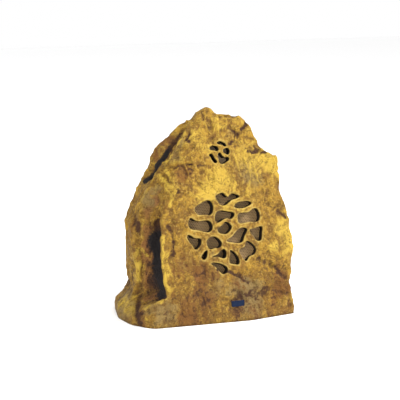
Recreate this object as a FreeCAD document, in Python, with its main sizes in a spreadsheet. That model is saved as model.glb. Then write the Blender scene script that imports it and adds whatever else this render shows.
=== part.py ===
import FreeCAD, Part
import math
import os
from types import SimpleNamespace
import Sketcher
from FreeCAD import Placement, Rotation, Vector

# Garden loudspeaker in the shape of a standing rock: a hollow cast shell with two cracked
# openings in its leaning face, a woofer and a tweeter behind them, a base plate with the
# crossover and line transformer, and a cable gland low at the back.
# Frame: origin on the ground under the middle of the rock, -Y front, +X right, +Z up, mm.

SIZES = {
    # the rock, measured over its ridge lines
    "rock_width": 317, "rock_depth": 216, "rock_height": 363,
    "shell_wall": 7, "grille_depth": 16, "slit_backing": 12,
    # foot of the shell
    "rim_width": 8, "seat_width": 13, "seat_height": 26, "corner_radius": 12,
    "base_recess": 3, "base_thickness": 8, "base_gasket_thickness": 2, "base_clearance": 0.5,
    "base_screw_radius": 2, "base_screw_length": 22, "base_head_radius": 4, "base_head_height": 2.6,
    # shared fits
    "fit": 0.1, "screw_play": 0.3, "thread_fit": 0.05,
    # grilles
    "woofer_across": 17, "driver_spacing": 142, "woofer_opening": 142,
    "tweeter_across": 19, "tweeter_drop": 42.7, "tweeter_opening": 39,
    "mesh_thickness": 1, "mesh_hole_radius": 3.4, "woofer_mesh_pitch": 12.5, "tweeter_mesh_pitch": 8.5,
    "tweeter_hole_radius": 2.2,
    # woofer
    "flange_radius": 82.5, "flange_thickness": 1.6, "flange_opening": 62, "woofer_gasket_thickness": 6,
    "woofer_screw_circle": 77.5, "woofer_screw_radius": 2, "woofer_head_radius": 3.6,
    "woofer_head_height": 2.4, "woofer_bite": 8,
    "basket_radius": 72.5, "basket_waist": 55, "basket_foot": 49, "spider_depth": 36, "basket_depth": 51,
    "window_width": 34, "window_foot": 27,
    "surround_outer": 70.5, "surround_inner": 48, "roll_outer": 62, "roll_inner": 54, "roll_radius": 4.6,
    "surround_thickness": 0.8, "cone_thickness": 1.2, "neck_depth": 32,
    "cap_radius": 20, "cap_height": 8, "cap_thickness": 1,
    "coil_radius": 12.8, "coil_thickness": 1, "coil_depth": 62, "gap_clearance": 0.6,
    "spider_thickness": 0.8, "spider_wave": 1.8,
    "plate_radius": 40, "plate_thickness": 6, "magnet_radius": 45, "magnet_bore": 21,
    "magnet_thickness": 15, "yoke_radius": 43, "yoke_thickness": 6, "vent_radius": 4, "seat_bore": 24,
    # tweeter
    "face_radius": 33, "face_thickness": 3, "horn_depth": 8, "hub_radius": 26.5,
    "mouth_radius": 20, "throat_radius": 15, "dome_radius": 12.3, "dome_height": 5.2,
    "dome_thickness": 0.4, "dome_lip": 14.2,
    "tweeter_coil_thickness": 0.6, "tweeter_coil_length": 6, "tweeter_gap": 0.5,
    "tweeter_plate_radius": 27, "tweeter_plate_thickness": 3, "tweeter_magnet_bore": 16,
    "tweeter_magnet_thickness": 8, "tweeter_yoke_radius": 25, "tweeter_yoke_thickness": 4,
    "tweeter_screw_circle": 29.6, "tweeter_screw_radius": 1.4, "tweeter_head_radius": 2.4,
    "tweeter_head_height": 1.8, "tweeter_bite": 7,
    # crossover on the base plate
    "board_edge": 107, "board_along": 32, "board_length": 86, "board_width": 56,
    "board_thickness": 1.6, "standoff_height": 8, "standoff_radius": 3, "board_inset": 5,
    "board_screw_radius": 1.5, "board_head_radius": 2.8, "board_head_height": 1.8, "board_bite": 6,
    "inductor_radius": 15, "inductor_bore": 6, "inductor_height": 16, "inductor_cheek": 2,
    "inductor_wire": 12.5,
    "capacitor_radius": 7, "capacitor_length": 30,
    "resistor_length": 26, "resistor_width": 9, "resistor_height": 9,
    "terminal_length": 30, "terminal_width": 11, "terminal_height": 12, "terminal_ways": 4,
    "terminal_hole": 2.2,
    # line transformer on the base plate
    "core_edge": 79, "core_along": 18, "core_length": 50, "core_height": 42, "core_stack": 18,
    "core_limb": 8, "winding_room": 0.5, "winding_swell": 8, "core_lift": 2,
    "strap_thickness": 1.5, "strap_width": 16, "strap_foot": 13, "strap_play": 0.2,
    "strap_screw_radius": 2, "strap_head_radius": 3.8, "strap_head_height": 2.2, "strap_bite": 6,
    # cable gland in its recess at the back
    "gland_across": 26.5, "gland_height": 44, "gland_recess": 27, "recess_radius": 20, "gland_wall": 7,
    "gland_thread": 8, "gland_bore": 5.5, "gland_hex": 11.5, "gland_hex_height": 5,
    "gland_front": 9, "locknut_height": 5, "locknut_hex": 12.5, "gland_cap_hex": 11,
    "gland_cap_height": 14, "cable_radius": 3.6, "seal_length": 12, "gland_tail": 3,
    # blank plate low on the front
    "badge_across": 22, "badge_rise": 29, "badge_length": 24, "badge_width": 10,
    "badge_thickness": 2.2, "badge_sink": 1.5, "badge_play": 0.2, "badge_corner": 1.5,
}

doc = FreeCAD.newDocument("garden_speaker")
sheet = doc.addObject("Spreadsheet::Sheet", "Sizes")
for row, (alias, number) in enumerate(SIZES.items(), start=1):
    sheet.set("A%d" % row, alias)
    sheet.set("B%d" % row, str(number))
    sheet.setAlias("B%d" % row, alias)
doc.recompute()


class Size:
    """A driving size, or a sum of several: its value and the expression that yields it."""

    def __init__(self, value, text):
        self.value = float(value)
        self.text = text

    def join(self, other, sign, value):
        return Size(value, "(%s %s %s)" % (self.text, sign, other.text))

    def __add__(self, other):
        other = as_size(other)
        return self.join(other, "+", self.value + other.value)

    def __sub__(self, other):
        other = as_size(other)
        return self.join(other, "-", self.value - other.value)

    def __rsub__(self, other):
        return as_size(other) - self

    def __mul__(self, other):
        other = as_size(other)
        return self.join(other, "*", self.value * other.value)

    def __truediv__(self, other):
        other = as_size(other)
        return self.join(other, "/", self.value / other.value)

    def __neg__(self):
        return Size(-self.value, "(0 - %s)" % self.text)

    __radd__ = __add__
    __rmul__ = __mul__


def as_size(number):
    if isinstance(number, Size):
        return number
    return Size(number, "(%.6f)" % number)


size = SimpleNamespace(**{alias: Size(sheet.get(alias), "Sizes." + alias) for alias in SIZES})
ZERO = as_size(0)
PARTS = []


def keep(thing, label):
    """Gives a finished sub-part its label and puts it on the list that is written out."""
    thing.Label = label
    PARTS.append(thing)
    return thing


def origin_plane(body, role):
    return [feature for feature in body.Origin.OriginFeatures if feature.Role == role][0]


def new_sketch(body, name, role="XY_Plane", lift=None):
    sketch = body.newObject("Sketcher::SketchObject", name)
    sketch.AttachmentSupport = [(origin_plane(body, role), "")]
    sketch.MapMode = "FlatFace"
    if lift is not None:
        sketch.AttachmentOffset = Placement(Vector(0, 0, lift.value), Rotation())
        sketch.setExpression("AttachmentOffset.Base.z", lift.text)
    return sketch


def pin(sketch, geometry, end, across, up):
    """Ties one end of a line or arc to its two sizes."""
    for kind, axis, amount in (("DistanceX", -2, across), ("DistanceY", -1, up)):
        if amount.value == 0:
            sketch.addConstraint(Sketcher.Constraint("PointOnObject", geometry, end, axis))
            continue
        index = sketch.addConstraint(Sketcher.Constraint(kind, -1, 1, geometry, end, amount.value))
        sketch.setExpression("Constraints[%d]" % index, amount.text)


def outline(sketch, corners):
    """Closes a profile through corners (across, up) or, for an arc that bulges to the left
    of the way there (side 1) or to the right (side -1), (across, up, radius, side)."""
    corners = [tuple(as_size(value) for value in corner) for corner in corners]
    points = [Vector(corner[0].value, corner[1].value, 0) for corner in corners]
    ends = []
    for index, corner in enumerate(corners):
        start, end = points[index - 1], points[index]
        if len(corner) == 2:
            number = sketch.addGeometry(Part.LineSegment(start, end), False)
            ends.append((number, 1, 2))
            continue
        chord = end - start
        left = Vector(-chord.y, chord.x, 0).normalize()
        radius = corner[2].value
        reach = math.sqrt(max(radius ** 2 - chord.Length ** 2 / 4, 0))
        centre = start + chord * 0.5 - left * (reach * corner[3].value)
        circle = Part.Circle(centre, Vector(0, 0, 1), radius)
        turns = [math.atan2(point.y - centre.y, point.x - centre.x) for point in (start, end)]
        first = 2 if corner[3].value > 0 else 1
        if first == 2:
            turns.reverse()
        number = sketch.addGeometry(Part.ArcOfCircle(circle, turns[0], turns[1]), False)
        ends.append((number, first, 3 - first))
        index = sketch.addConstraint(Sketcher.Constraint("Radius", number, radius))
        sketch.setExpression("Constraints[%d]" % index, corner[2].text)
    for index, (number, first, last) in enumerate(ends):
        follower = ends[(index + 1) % len(ends)]
        sketch.addConstraint(Sketcher.Constraint("Coincident", number, last, follower[0], follower[1]))
        pin(sketch, number, last, corners[index][0], corners[index][1])


def turned(label, profile, place):
    """A piece turned about its own Z axis from a profile of (radius, height) corners."""
    body = doc.addObject("PartDesign::Body", label)
    sketch = new_sketch(body, label + "_profile", "XZ_Plane")
    outline(sketch, profile)
    turn = body.newObject("PartDesign::Revolution", label + "_turn")
    turn.Profile = sketch
    turn.ReferenceAxis = (sketch, ["V_Axis"])
    turn.Angle = 360
    body.Placement = place
    return keep(body, label)


def pressed(label, corners, thickness, place, role="XY_Plane", both=False):
    """A piece of even thickness padded from a closed outline."""
    body = doc.addObject("PartDesign::Body", label)
    sketch = new_sketch(body, label + "_outline", role)
    outline(sketch, corners)
    pad = body.newObject("PartDesign::Pad", label + "_pad")
    pad.Profile = sketch
    pad.Length = thickness.value
    pad.setExpression("Length", thickness.text)
    if both:
        pad.SideType = "Symmetric"
    body.Placement = place
    return keep(body, label)


def repeat(body, feature, sketch, name, copies):
    pattern = body.newObject("PartDesign::PolarPattern", name)
    pattern.Originals = [feature]
    pattern.Axis = (sketch, ["N_Axis"])
    pattern.Angle = 360
    pattern.Occurrences = copies
    body.Tip = pattern
    doc.recompute()


def drill(body, name, across, up, radius, top, depth, copies=1):
    """Bores a round hole down from a height, and repeats it about the piece's axis."""
    doc.recompute()
    before = body.Shape.Volume
    sketch = new_sketch(body, name + "_sketch", "XY_Plane", top)
    centre = Vector(across.value, up.value, 0)
    number = sketch.addGeometry(Part.Circle(centre, Vector(0, 0, 1), radius.value), False)
    pin(sketch, number, 3, across, up)
    index = sketch.addConstraint(Sketcher.Constraint("Radius", number, radius.value))
    sketch.setExpression("Constraints[%d]" % index, radius.text)
    cut_down(body, name, sketch, depth, copies, before)


def window(body, name, corners, top, depth, copies):
    """Cuts an opening with straight edges down from a height, repeated about the axis."""
    doc.recompute()
    before = body.Shape.Volume
    sketch = new_sketch(body, name + "_sketch", "XY_Plane", top)
    outline(sketch, corners)
    cut_down(body, name, sketch, depth, copies, before)


def cut_down(body, name, sketch, depth, copies, before):
    pocket = body.newObject("PartDesign::Pocket", name)
    pocket.Profile = sketch
    pocket.Length = depth.value
    pocket.setExpression("Length", depth.text)
    doc.recompute()
    if copies > 1:
        repeat(body, pocket, sketch, name + "_copies", copies)
    if body.Shape.Volume > before - 1e-3:
        raise RuntimeError(name + " cuts nothing")


def block(name, length, width, height, place):
    box = doc.addObject("Part::Box", name)
    for prop, amount in (("Length", length), ("Width", width), ("Height", height)):
        setattr(box, prop, amount.value)
        box.setExpression(prop, amount.text)
    box.Placement = place
    return box


def rod(name, radius, height, place):
    cylinder = doc.addObject("Part::Cylinder", name)
    for prop, amount in (("Radius", radius), ("Height", height)):
        setattr(cylinder, prop, amount.value)
        cylinder.setExpression(prop, amount.text)
    cylinder.Placement = place
    return cylinder


def hexagon(name, half_width, height, place):
    """A hexagon bar given by half its width over the flats."""
    prism = doc.addObject("Part::Prism", name)
    prism.Polygon = 6
    across = half_width / math.cos(math.pi / 6)
    for prop, amount in (("Circumradius", across), ("Height", height)):
        setattr(prism, prop, amount.value)
        prism.setExpression(prop, amount.text)
    prism.Placement = place
    return prism


def fused(name, *shapes):
    union = doc.addObject("Part::MultiFuse", name)
    union.Shapes = list(shapes)
    return union


def less(name, base, *tools):
    cut = doc.addObject("Part::Cut", name)
    cut.Base = base
    cut.Tool = tools[0] if len(tools) == 1 else fused(name + "_tools", *tools)
    return cut


def solid(label, shape):
    feature = doc.addObject("Part::Feature", label)
    feature.Shape = shape
    return keep(feature, label)


def screw_shape(shank_radius, shank_length, head_radius, head_height):
    """A domed screw standing on its head: the shank rises from the underside of the head."""
    shank = Part.makeCylinder(shank_radius, shank_length)
    head = Part.makeCylinder(head_radius, head_height, Vector(0, 0, -head_height))
    rims = [edge for edge in head.Edges if edge.Closed and edge.BoundBox.ZMax < -head_height / 2]
    head = head.makeFillet(head_height * 0.4, rims)
    return shank.fuse(head).removeSplitter()


def screws(label, spots, shank_radius, shank_length, head_radius, head_height):
    """Identical screws as one group of separate solids."""
    pattern = screw_shape(shank_radius.value, shank_length.value, head_radius.value, head_height.value)
    copies = []
    for spot in spots:
        copy = pattern.copy()
        copy.Placement = spot
        copies.append(copy)
    return solid(label, Part.makeCompound(copies))


def at(x=0, y=0, z=0):
    return Placement(Vector(x, y, z), Rotation())


# The rock. Nine ridge lines climb from the ground to the crest: front right, right, back
# right, back left, left shoulder, left pillar, the crevice, front left and front middle.
# Each is given as (x, y) at the same heights, and the surface is drawn over the net they span.

HEIGHTS = [0, 14, 30, 48, 110, 165, 205, 272, 287, 325, 341]
RIDGES = [
    [(131, -104), (134, -99), (132, -94), (129, -88), (148, -67), (144, -56), (132, -46), (131, -35),
     (98, -28), (84, -18), (70, -8)],
    [(150, -10), (152, -8), (151, -6), (146, -4), (150, 2), (142, 6), (127, 8), (117, 12), (88, 14),
     (71, 14), (58, 8)],
    [(104, 92), (106, 94), (106, 94), (102, 92), (98, 86), (88, 78), (78, 68), (59, 51), (53, 45),
     (42, 30), (34, 14)],
    [(-70, 101), (-72, 102), (-70, 102), (-68, 100), (-66, 94), (-62, 86), (-52, 74), (-33, 53),
     (-27, 47), (-10, 32), (3, 18)],
    [(-147, 62), (-152, 60), (-138, 58), (-124, 56), (-131, 52), (-133, 48), (-117, 44), (-88, 32),
     (-80, 29), (-47, 20), (-19, 10)],
    [(-165, -10), (-163, -9), (-149, -8), (-131, -8), (-134, -6), (-132, -6), (-117, -4), (-83, -2),
     (-72, -2), (-41, -2), (-16, 0)],
    [(-158, -57), (-156, -55), (-141, -45), (-103, -34), (-90, -27), (-90, -26), (-93, -25), (-68, -17),
     (-57, -13), (-33, -8), (-11, -4)],
    [(-131, -95), (-132, -93), (-130, -91), (-104, -88), (-110, -72), (-105, -60), (-90, -50),
     (-58, -31), (-48, -27), (-24, -18), (-2, -8)],
    [(44, -114), (42, -110), (30, -104), (16, -95), (4, -75), (6, -62), (8, -52), (13, -35), (14, -31),
     (20, -22), (24, -14)],
]
CREST = [(64, 0, 342), (52, 4, 340), (34, 6, 334), (13, 6, 358), (7, 4, 362), (4, 2, 363),
         (6, 0, 363), (12, -1, 361), (29, -4, 339)]
SUMMIT = (22, 2, 345)

# Weathering: a path over the surface, how far its groove reaches to each side and how deep it
# is. A negative depth raises a rib.
CREASES = [
    (8, 14, [(-38, 4, 323), (-54, 2, 303), (-72, 1, 276), (-86, 7, 253), (-95, 12, 241)]),
    (6, 3, [(5, -80, 89), (28, -80, 85), (51, -85, 63)]),
    (8, 4, [(49, -77, 95), (73, -74, 101), (115, -81, 71)]),
    (11, 4, [(27, -97, 42), (54, -96, 44), (95, -93, 41)]),
    (8, 6, [(-126, 15, 179), (-127, -7, 167), (-125, -11, 154)]),
    (8, 5, [(-133, 5, 88), (-130, 20, 63)]),
    (15, 4, [(-30, -79, 89), (-36, -92, 40)]),
    (7, 3, [(0, -4, 352), (5, -19, 327), (27, -16, 336)]),
    (7, -3, [(-15, -9, 336), (-30, -34, 267)]),
    (10, 6, [(30, 60, 240), (24, 78, 180), (40, 92, 110)]),
    (9, 5, [(124, 40, 130), (118, 46, 90), (130, 30, 50)]),
]
NET_AROUND = 96
NET_UP = 60

DRAWN_X = [x for ridge in RIDGES for x, y in ridge]
DRAWN_Y = [y for ridge in RIDGES for x, y in ridge]
STRETCH = Vector(size.rock_width.value / (max(DRAWN_X) - min(DRAWN_X)),
                 size.rock_depth.value / (max(DRAWN_Y) - min(DRAWN_Y)),
                 size.rock_height.value / max(z for x, y, z in CREST))


MIDDLE = ((max(DRAWN_X) + min(DRAWN_X)) / 2, (max(DRAWN_Y) + min(DRAWN_Y)) / 2)


def stretch(x, y, z):
    """A drawn point at the part's size, with the middle of the footprint on the axis."""
    return Vector((x - MIDDLE[0]) * STRETCH.x, (y - MIDDLE[1]) * STRETCH.y, z * STRETCH.z)


def ring_at(height):
    """The nine ridge points at one height, as (x, y)."""
    levels = [level * STRETCH.z for level in HEIGHTS]
    index = max(k for k in range(len(levels) - 1) if levels[k] <= height or k == 0)
    share = (height - levels[index]) / (levels[index + 1] - levels[index])
    ring = []
    for ridge in RIDGES:
        low, high = stretch(*ridge[index], 0), stretch(*ridge[index + 1], 0)
        ring.append(low + (high - low) * share)
    return ring


def tight_ring_at(height, reach):
    """For each ridge, its point nearest the axis within a reach above and below a height."""
    rings = [ring_at(max(height + step * reach, 0)) for step in (-1, -0.5, 0, 0.5, 1)]
    return [min(points, key=lambda point: point.Length) for points in zip(*rings)]


def inset(ring, distance):
    """Moves every side of a plan outline inwards by the same distance."""
    moved = []
    count = len(ring)
    for index in range(count):
        here, before, after = ring[index], ring[index - 1], ring[(index + 1) % count]
        first = (here - before).normalize()
        second = (after - here).normalize()
        inward_first = Vector(-first.y, first.x, 0)
        inward_second = Vector(-second.y, second.x, 0)
        mitre = inward_first + inward_second
        moved.append(here + mitre * (distance / (1 + inward_first.dot(inward_second))))
    return moved


def raised(ring, height):
    return [Vector(point.x, point.y, height) for point in ring]


def rounded_wire(ring, radius):
    """A closed plan outline with tangent arcs in its corners."""
    edges = []
    starts, ends, middles = [], [], []
    count = len(ring)
    for index in range(count):
        here, before, after = ring[index], ring[index - 1], ring[(index + 1) % count]
        back = (before - here)
        ahead = (after - here)
        half = back.getAngle(ahead) / 2
        reach = min(radius / math.tan(half), 0.45 * back.Length, 0.45 * ahead.Length)
        bend = reach * math.tan(half)
        back = back.normalize()
        ahead = ahead.normalize()
        starts.append(here + back * reach)
        ends.append(here + ahead * reach)
        bisector = (back + ahead).normalize()
        middles.append(here + bisector * (bend / math.sin(half) - bend))
    for index in range(count):
        edges.append(Part.Arc(starts[index], middles[index], ends[index]).toShape())
        edges.append(Part.LineSegment(ends[index], starts[(index + 1) % count]).toShape())
    return Part.Wire(edges)


def slab(ring, low, high, radius):
    """A plan outline with rounded corners between two heights."""
    face = Part.Face(rounded_wire(raised(ring, low), radius))
    return face.extrude(Vector(0, 0, high - low))


def distance_to_path(point, path):
    nearest = 1e9
    for start, end in zip(path, path[1:]):
        along = end - start
        share = max(0, min(1, (point - start).dot(along) / along.dot(along)))
        nearest = min(nearest, (point - start - along * share).Length)
    return nearest


def shares(steps, count):
    """Spreads count places evenly over a chain of steps: (step index, share of the step)."""
    total = sum(steps)
    places = []
    for index in range(count):
        rest = total * index / count
        step = 0
        while step < len(steps) - 1 and rest > steps[step]:
            rest -= steps[step]
            step += 1
        places.append((step, min(rest / steps[step], 1)))
    return places


def rock_net():
    """The fine net: rows from the ground to the summit, each running round the rock."""
    rows = [[stretch(*ridge[k], HEIGHTS[k]) for ridge in RIDGES] for k in range(len(HEIGHTS))]
    rows.append([stretch(*point) for point in CREST])
    rows.append([stretch(*SUMMIT)] * len(RIDGES))
    count = len(RIDGES)
    around = [sum((row[(i + 1) % count] - row[i]).Length for row in rows[:-1]) for i in range(count)]
    up = [sum((high[i] - low[i]).Length for i in range(count)) for low, high in zip(rows, rows[1:])]
    columns = shares(around, NET_AROUND)
    fine = []
    for step, share in shares(up, NET_UP - 1) + [(len(up) - 1, 1)]:
        line = []
        for i, turn in columns:
            low = rows[step][i] + (rows[step][(i + 1) % count] - rows[step][i]) * turn
            high = rows[step + 1][i] + (rows[step + 1][(i + 1) % count] - rows[step + 1][i]) * turn
            line.append(low + (high - low) * share)
        fine.append(line)
    return weathered(fine)


def weathered(fine):
    creases = [(reach, depth, [stretch(*point) for point in path]) for reach, depth, path in CREASES]
    worn = [list(line) for line in fine]
    for row in range(1, NET_UP - 1):
        for column in range(NET_AROUND):
            point = fine[row][column]
            side = fine[row][(column + 1) % NET_AROUND] - fine[row][column - 1]
            rise = fine[row + 1][column] - fine[row - 1][column]
            outward = side.cross(rise)
            if outward.Length < 1e-6:
                continue
            outward.normalize()
            depth = 0
            for reach, amount, path in creases:
                depth += amount * math.exp(-(distance_to_path(point, path) / reach) ** 2)
            worn[row][column] = point - outward * depth
    return worn


def rock_blank():
    """The solid rock: one smooth surface over the net, closed by the ground."""
    fine = rock_net()
    poles = [[line[column] for line in fine] for column in range(NET_AROUND)]
    surface = Part.BSplineSurface()
    knots_up = list(range(NET_UP - 2))
    surface.buildFromPolesMultsKnots(
        poles, [1] * (NET_AROUND + 1), [4] + [1] * (NET_UP - 4) + [4],
        list(range(NET_AROUND + 1)), knots_up, True, False, 3, 3)
    side = surface.toShape()
    ground = [edge for edge in side.Edges if not edge.Degenerated and edge.BoundBox.ZMax < 1e-6][0]
    shell = Part.Shell([side, Part.Face(Part.Wire([ground]))])
    shell.sewShape()
    return Part.Solid(shell)


# The leaning front. The baffle plane lies behind it, and both drivers sit square on that plane:
# in their own frames +Z points out through the grille and +Y up the face.

FRONT_FOOT = stretch(0, -102, 0)
FRONT_HEAD = stretch(20, -22, HEIGHTS[-2])
FACE_LENGTH = math.hypot(FRONT_HEAD.y - FRONT_FOOT.y, FRONT_HEAD.z)
LEAN = math.atan2(FRONT_HEAD.y - FRONT_FOOT.y, FRONT_HEAD.z)
FACE_TURN = Rotation(Vector(1, 0, 0), 90 - math.degrees(LEAN))
FACE_OUT = FACE_TURN.multVec(Vector(0, 0, 1))
FACE_UP = FACE_TURN.multVec(Vector(0, 1, 0))


def on_face(across, rise, depth):
    """A frame on the leaning front: across from the middle, up the face, depth behind it."""
    foot = FRONT_FOOT + Vector(across.value, 0, 0)
    return Placement(foot + FACE_UP * rise.value - FACE_OUT * depth, FACE_TURN)


tweeter_rise = FACE_LENGTH - size.tweeter_drop
woofer_rise = tweeter_rise - size.driver_spacing
WOOFER = on_face(size.woofer_across, woofer_rise, size.grille_depth.value)
TWEETER = on_face(size.tweeter_across, tweeter_rise, size.grille_depth.value)

# Cracked openings, as outlines across and up from each driver's centre.
WOOFER_CRACKS = [
    [(-11, 58), (-7, 52), (0, 50), (8, 53), (15, 58), (24, 60), (31, 63), (23, 68), (14, 68), (9, 64),
     (1, 71), (-9, 70), (-14, 67)],
    [(29, 43), (38, 43), (48, 46), (54, 50), (50, 53), (37, 54), (25, 52), (20, 46)],
    [(-54, 43), (-50, 38), (-38, 37), (-27, 36), (-21, 46), (-22, 55), (-26, 60), (-35, 60), (-44, 56),
     (-55, 48)],
    [(-18, 22), (-12, 22), (-4, 26), (5, 27), (12, 26), (16, 29), (18, 34), (8, 38), (-5, 41), (-14, 40),
     (-19, 32)],
    [(24, 25), (25, 18), (38, 17), (53, 17), (64, 18), (66, 34), (63, 39), (55, 39), (48, 35), (34, 34),
     (25, 32)],
    [(-67, 16), (-54, 12), (-42, 8), (-31, 7), (-26, 12), (-26, 18), (-29, 24), (-46, 26), (-59, 30),
     (-64, 33), (-69, 23)],
    [(-14, 4), (-7, 1), (1, 1), (7, 5), (11, 12), (8, 17), (-1, 21), (-9, 15), (-17, 10)],
    [(9, -15), (20, -17), (29, -16), (36, -3), (41, 5), (34, 8), (25, 7), (18, 2), (9, -6), (-1, -12)],
    [(46, -1), (53, -11), (58, -16), (64, -17), (69, -3), (70, 7), (63, 7), (53, 5), (45, 3)],
    [(-72, -5), (-65, -14), (-60, -21), (-53, -17), (-49, -10), (-49, -5), (-60, -2), (-67, 3), (-73, 4)],
    [(-38, -18), (-33, -23), (-25, -22), (-16, -22), (-11, -15), (-14, -9), (-22, -3), (-31, -3),
     (-38, -9)],
    [(-50, -36), (-47, -40), (-39, -28), (-39, -25), (-48, -31)],
    [(24, -38), (29, -46), (34, -50), (41, -43), (50, -40), (55, -31), (51, -24), (44, -18), (37, -16),
     (32, -25), (22, -30)],
    [(-24, -37), (-16, -39), (-8, -41), (-4, -32), (-7, -26), (-14, -28), (-21, -34), (-31, -37)],
    [(4, -36), (1, -43), (1, -50), (10, -53), (18, -54), (20, -48), (18, -41), (11, -32), (4, -29)],
    [(-26, -55), (-19, -64), (-14, -68), (-5, -64), (-4, -61), (-13, -52), (-24, -48), (-34, -48)],
]
TWEETER_CRACKS = [
    [(0.5, 14), (5.5, 12.5), (10, 10), (13, 11), (12.5, 14), (7, 17.5), (1, 19.5), (-4.5, 17)],
    [(-16, 5.5), (-10, 4.5), (-6, 3), (-2, 6.5), (-3.5, 9.5), (-9.5, 12.5), (-14.5, 12), (-18.5, 8.5)],
    [(6, 1), (9.5, -2.5), (15, -4.5), (17.5, -2), (18.5, 3.5), (15.5, 7), (10, 6.5), (6, 4.5)],
    [(-18.5, -7), (-16.5, -11.5), (-13.5, -16), (-10, -18), (-7.5, -15.5), (-9.5, -11.5), (-12.5, -5.5),
     (-16.5, -1), (-21, -3.5)],
    [(-4, -12.5), (-1.5, -19), (4.5, -19.5), (10.5, -17), (15.5, -13), (15, -9.5), (8.5, -9), (3.5, -4.5),
     (-1, 0), (-5, -3.5)],
]


def crack_tools(cracks, opening, place):
    """Prisms through the front for one driver's cracks, scaled to its opening's height."""
    ups = [up for crack in cracks for across, up in crack]
    scale = opening.value / (max(ups) - min(ups))
    tools = []
    for crack in cracks:
        curve = Part.BSplineCurve()
        curve.interpolate(Points=[Vector(x * scale, y * scale, -1) for x, y in crack], PeriodicFlag=True)
        face = Part.Face(Part.Wire([curve.toShape()]))
        prism = face.extrude(Vector(0, 0, size.grille_depth.value + 15))
        prism.Placement = place
        tools.append(prism)
    return tools


def bolt_circle(place, radius, height, copies, first):
    """Frames on a circle about a driver's axis."""
    spots = []
    for index in range(copies):
        angle = math.radians(first + 360 * index / copies)
        spot = Vector(radius.value * math.cos(angle), radius.value * math.sin(angle), height)
        spots.append(place.multiply(Placement(spot, Rotation())))
    return spots


def pilot(spot, radius, low, high):
    hole = Part.makeCylinder(radius, high - low, Vector(0, 0, low))
    hole.Placement = spot
    return hole


WOOFER_SCREWS = 4
TWEETER_SCREWS = 3
WOOFER_FIRST = 45
TWEETER_FIRST = 90

# foot: rim on the ground, rebate for plate and gasket, and the seat that they are screwed to
PLATE_LOW = size.base_recess
PLATE_TOP = PLATE_LOW + size.base_thickness
SEAT = PLATE_TOP + size.base_gasket_thickness
FOOT = ring_at(0)
REBATE = inset(FOOT, size.rim_width.value)
SEAT_RING = tight_ring_at(SEAT.value, SEAT.value)
SEAT_EDGE = inset(SEAT_RING, (size.rim_width + size.seat_width).value)
BASE_SPOTS = [point for index, point in enumerate(inset(SEAT_RING, (size.rim_width + size.seat_width / 2).value))
              if index != 6]
CORE_X = FOOT[1].x - size.core_edge.value
BOARD_X = FOOT[5].x + size.board_edge.value

# back wall at the gland
back = ring_at(size.gland_height.value)
along_back = (size.gland_across.value - back[2].x) / (back[3].x - back[2].x)
BACK_Y = back[2].y + (back[3].y - back[2].y) * along_back
GLAND = Placement(Vector(size.gland_across.value, BACK_Y - size.gland_recess.value, size.gland_height.value),
                  Rotation(Vector(1, 0, 0), -90))


def cavity():
    """The hollow of the shell, flat where it meets the baffle plane."""
    seat_height = size.seat_height.value
    wall = size.shell_wall.value
    reach = 14 * STRETCH.z
    rings = [raised(SEAT_EDGE, SEAT.value)]
    inner = inset(tight_ring_at(seat_height, reach), (size.rim_width + size.seat_width).value)
    rings.append(raised(inner, seat_height))
    for level, backing in ((62, 0), (110, 0), (165, 0), (205, 0.5), (265, 1), (284, 1), (318, 0.6)):
        height = level * STRETCH.z
        ring = inset(tight_ring_at(height, reach * 0.5), wall)
        for index in (4, 5, 6):
            ring[index] = ring[index] + Vector(size.slit_backing.value * backing, 0, 0)
        rings.append(raised(ring, height))
    hollow = Part.makeLoft([Part.makePolygon(ring + ring[:1]) for ring in rings], True, True)
    far = 2 * (size.rock_width.value + size.rock_height.value)
    behind = Part.makeBox(far, far, far, Vector(-far / 2, -far / 2, -far))
    behind.Placement = on_face(ZERO, ZERO, size.grille_depth.value)
    return hollow.common(behind)


def rock_shell(blank):
    pad = Part.makeCylinder((size.recess_radius + size.shell_wall).value,
                            2 * (size.gland_wall + size.gland_recess).value,
                            Vector(0, 0, -size.gland_wall.value))
    pad.Placement = GLAND
    hollow = cavity().cut(pad)
    recess = Part.makeCylinder(size.recess_radius.value, 3 * size.gland_recess.value)
    recess.Placement = GLAND
    passage = Part.makeCylinder((size.gland_thread + size.fit).value, 4 * size.gland_wall.value,
                                Vector(0, 0, -2 * size.gland_wall.value))
    passage.Placement = GLAND
    tools = [hollow, slab(REBATE, -1, SEAT.value, size.corner_radius.value), recess, passage]
    tools += crack_tools(WOOFER_CRACKS, size.woofer_opening, WOOFER)
    tools += crack_tools(TWEETER_CRACKS, size.tweeter_opening, TWEETER)
    bore = (size.woofer_screw_radius + size.thread_fit).value
    for spot in bolt_circle(WOOFER, size.woofer_screw_circle, 0, WOOFER_SCREWS, WOOFER_FIRST):
        tools.append(pilot(spot, bore, -1, size.woofer_bite.value + 0.5))
    bore = (size.tweeter_screw_radius + size.thread_fit).value
    for spot in bolt_circle(TWEETER, size.tweeter_screw_circle, 0, TWEETER_SCREWS, TWEETER_FIRST):
        tools.append(pilot(spot, bore, -1, size.tweeter_bite.value + 0.5))
    bore = (size.base_screw_radius + size.thread_fit).value
    top = (PLATE_LOW + size.base_head_height + size.base_screw_length).value
    for spot in BASE_SPOTS:
        tools.append(pilot(at(spot.x, spot.y, 0), bore, SEAT.value - 1, top + 1))
    tools.append(badge_block(blank, size.badge_play.value, 20))
    return blank.cut(tools)


def badge_floor(blank):
    """How far the floor of the badge's recess lies in front of the baffle plane."""
    place = on_face(size.badge_across, size.badge_rise, size.grille_depth.value)
    probe = Part.makeLine(Vector(0, 0, 0), Vector(0, 0, 4 * size.grille_depth.value))
    probe.Placement = place
    return blank.common(probe).Length - size.badge_sink.value


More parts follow.
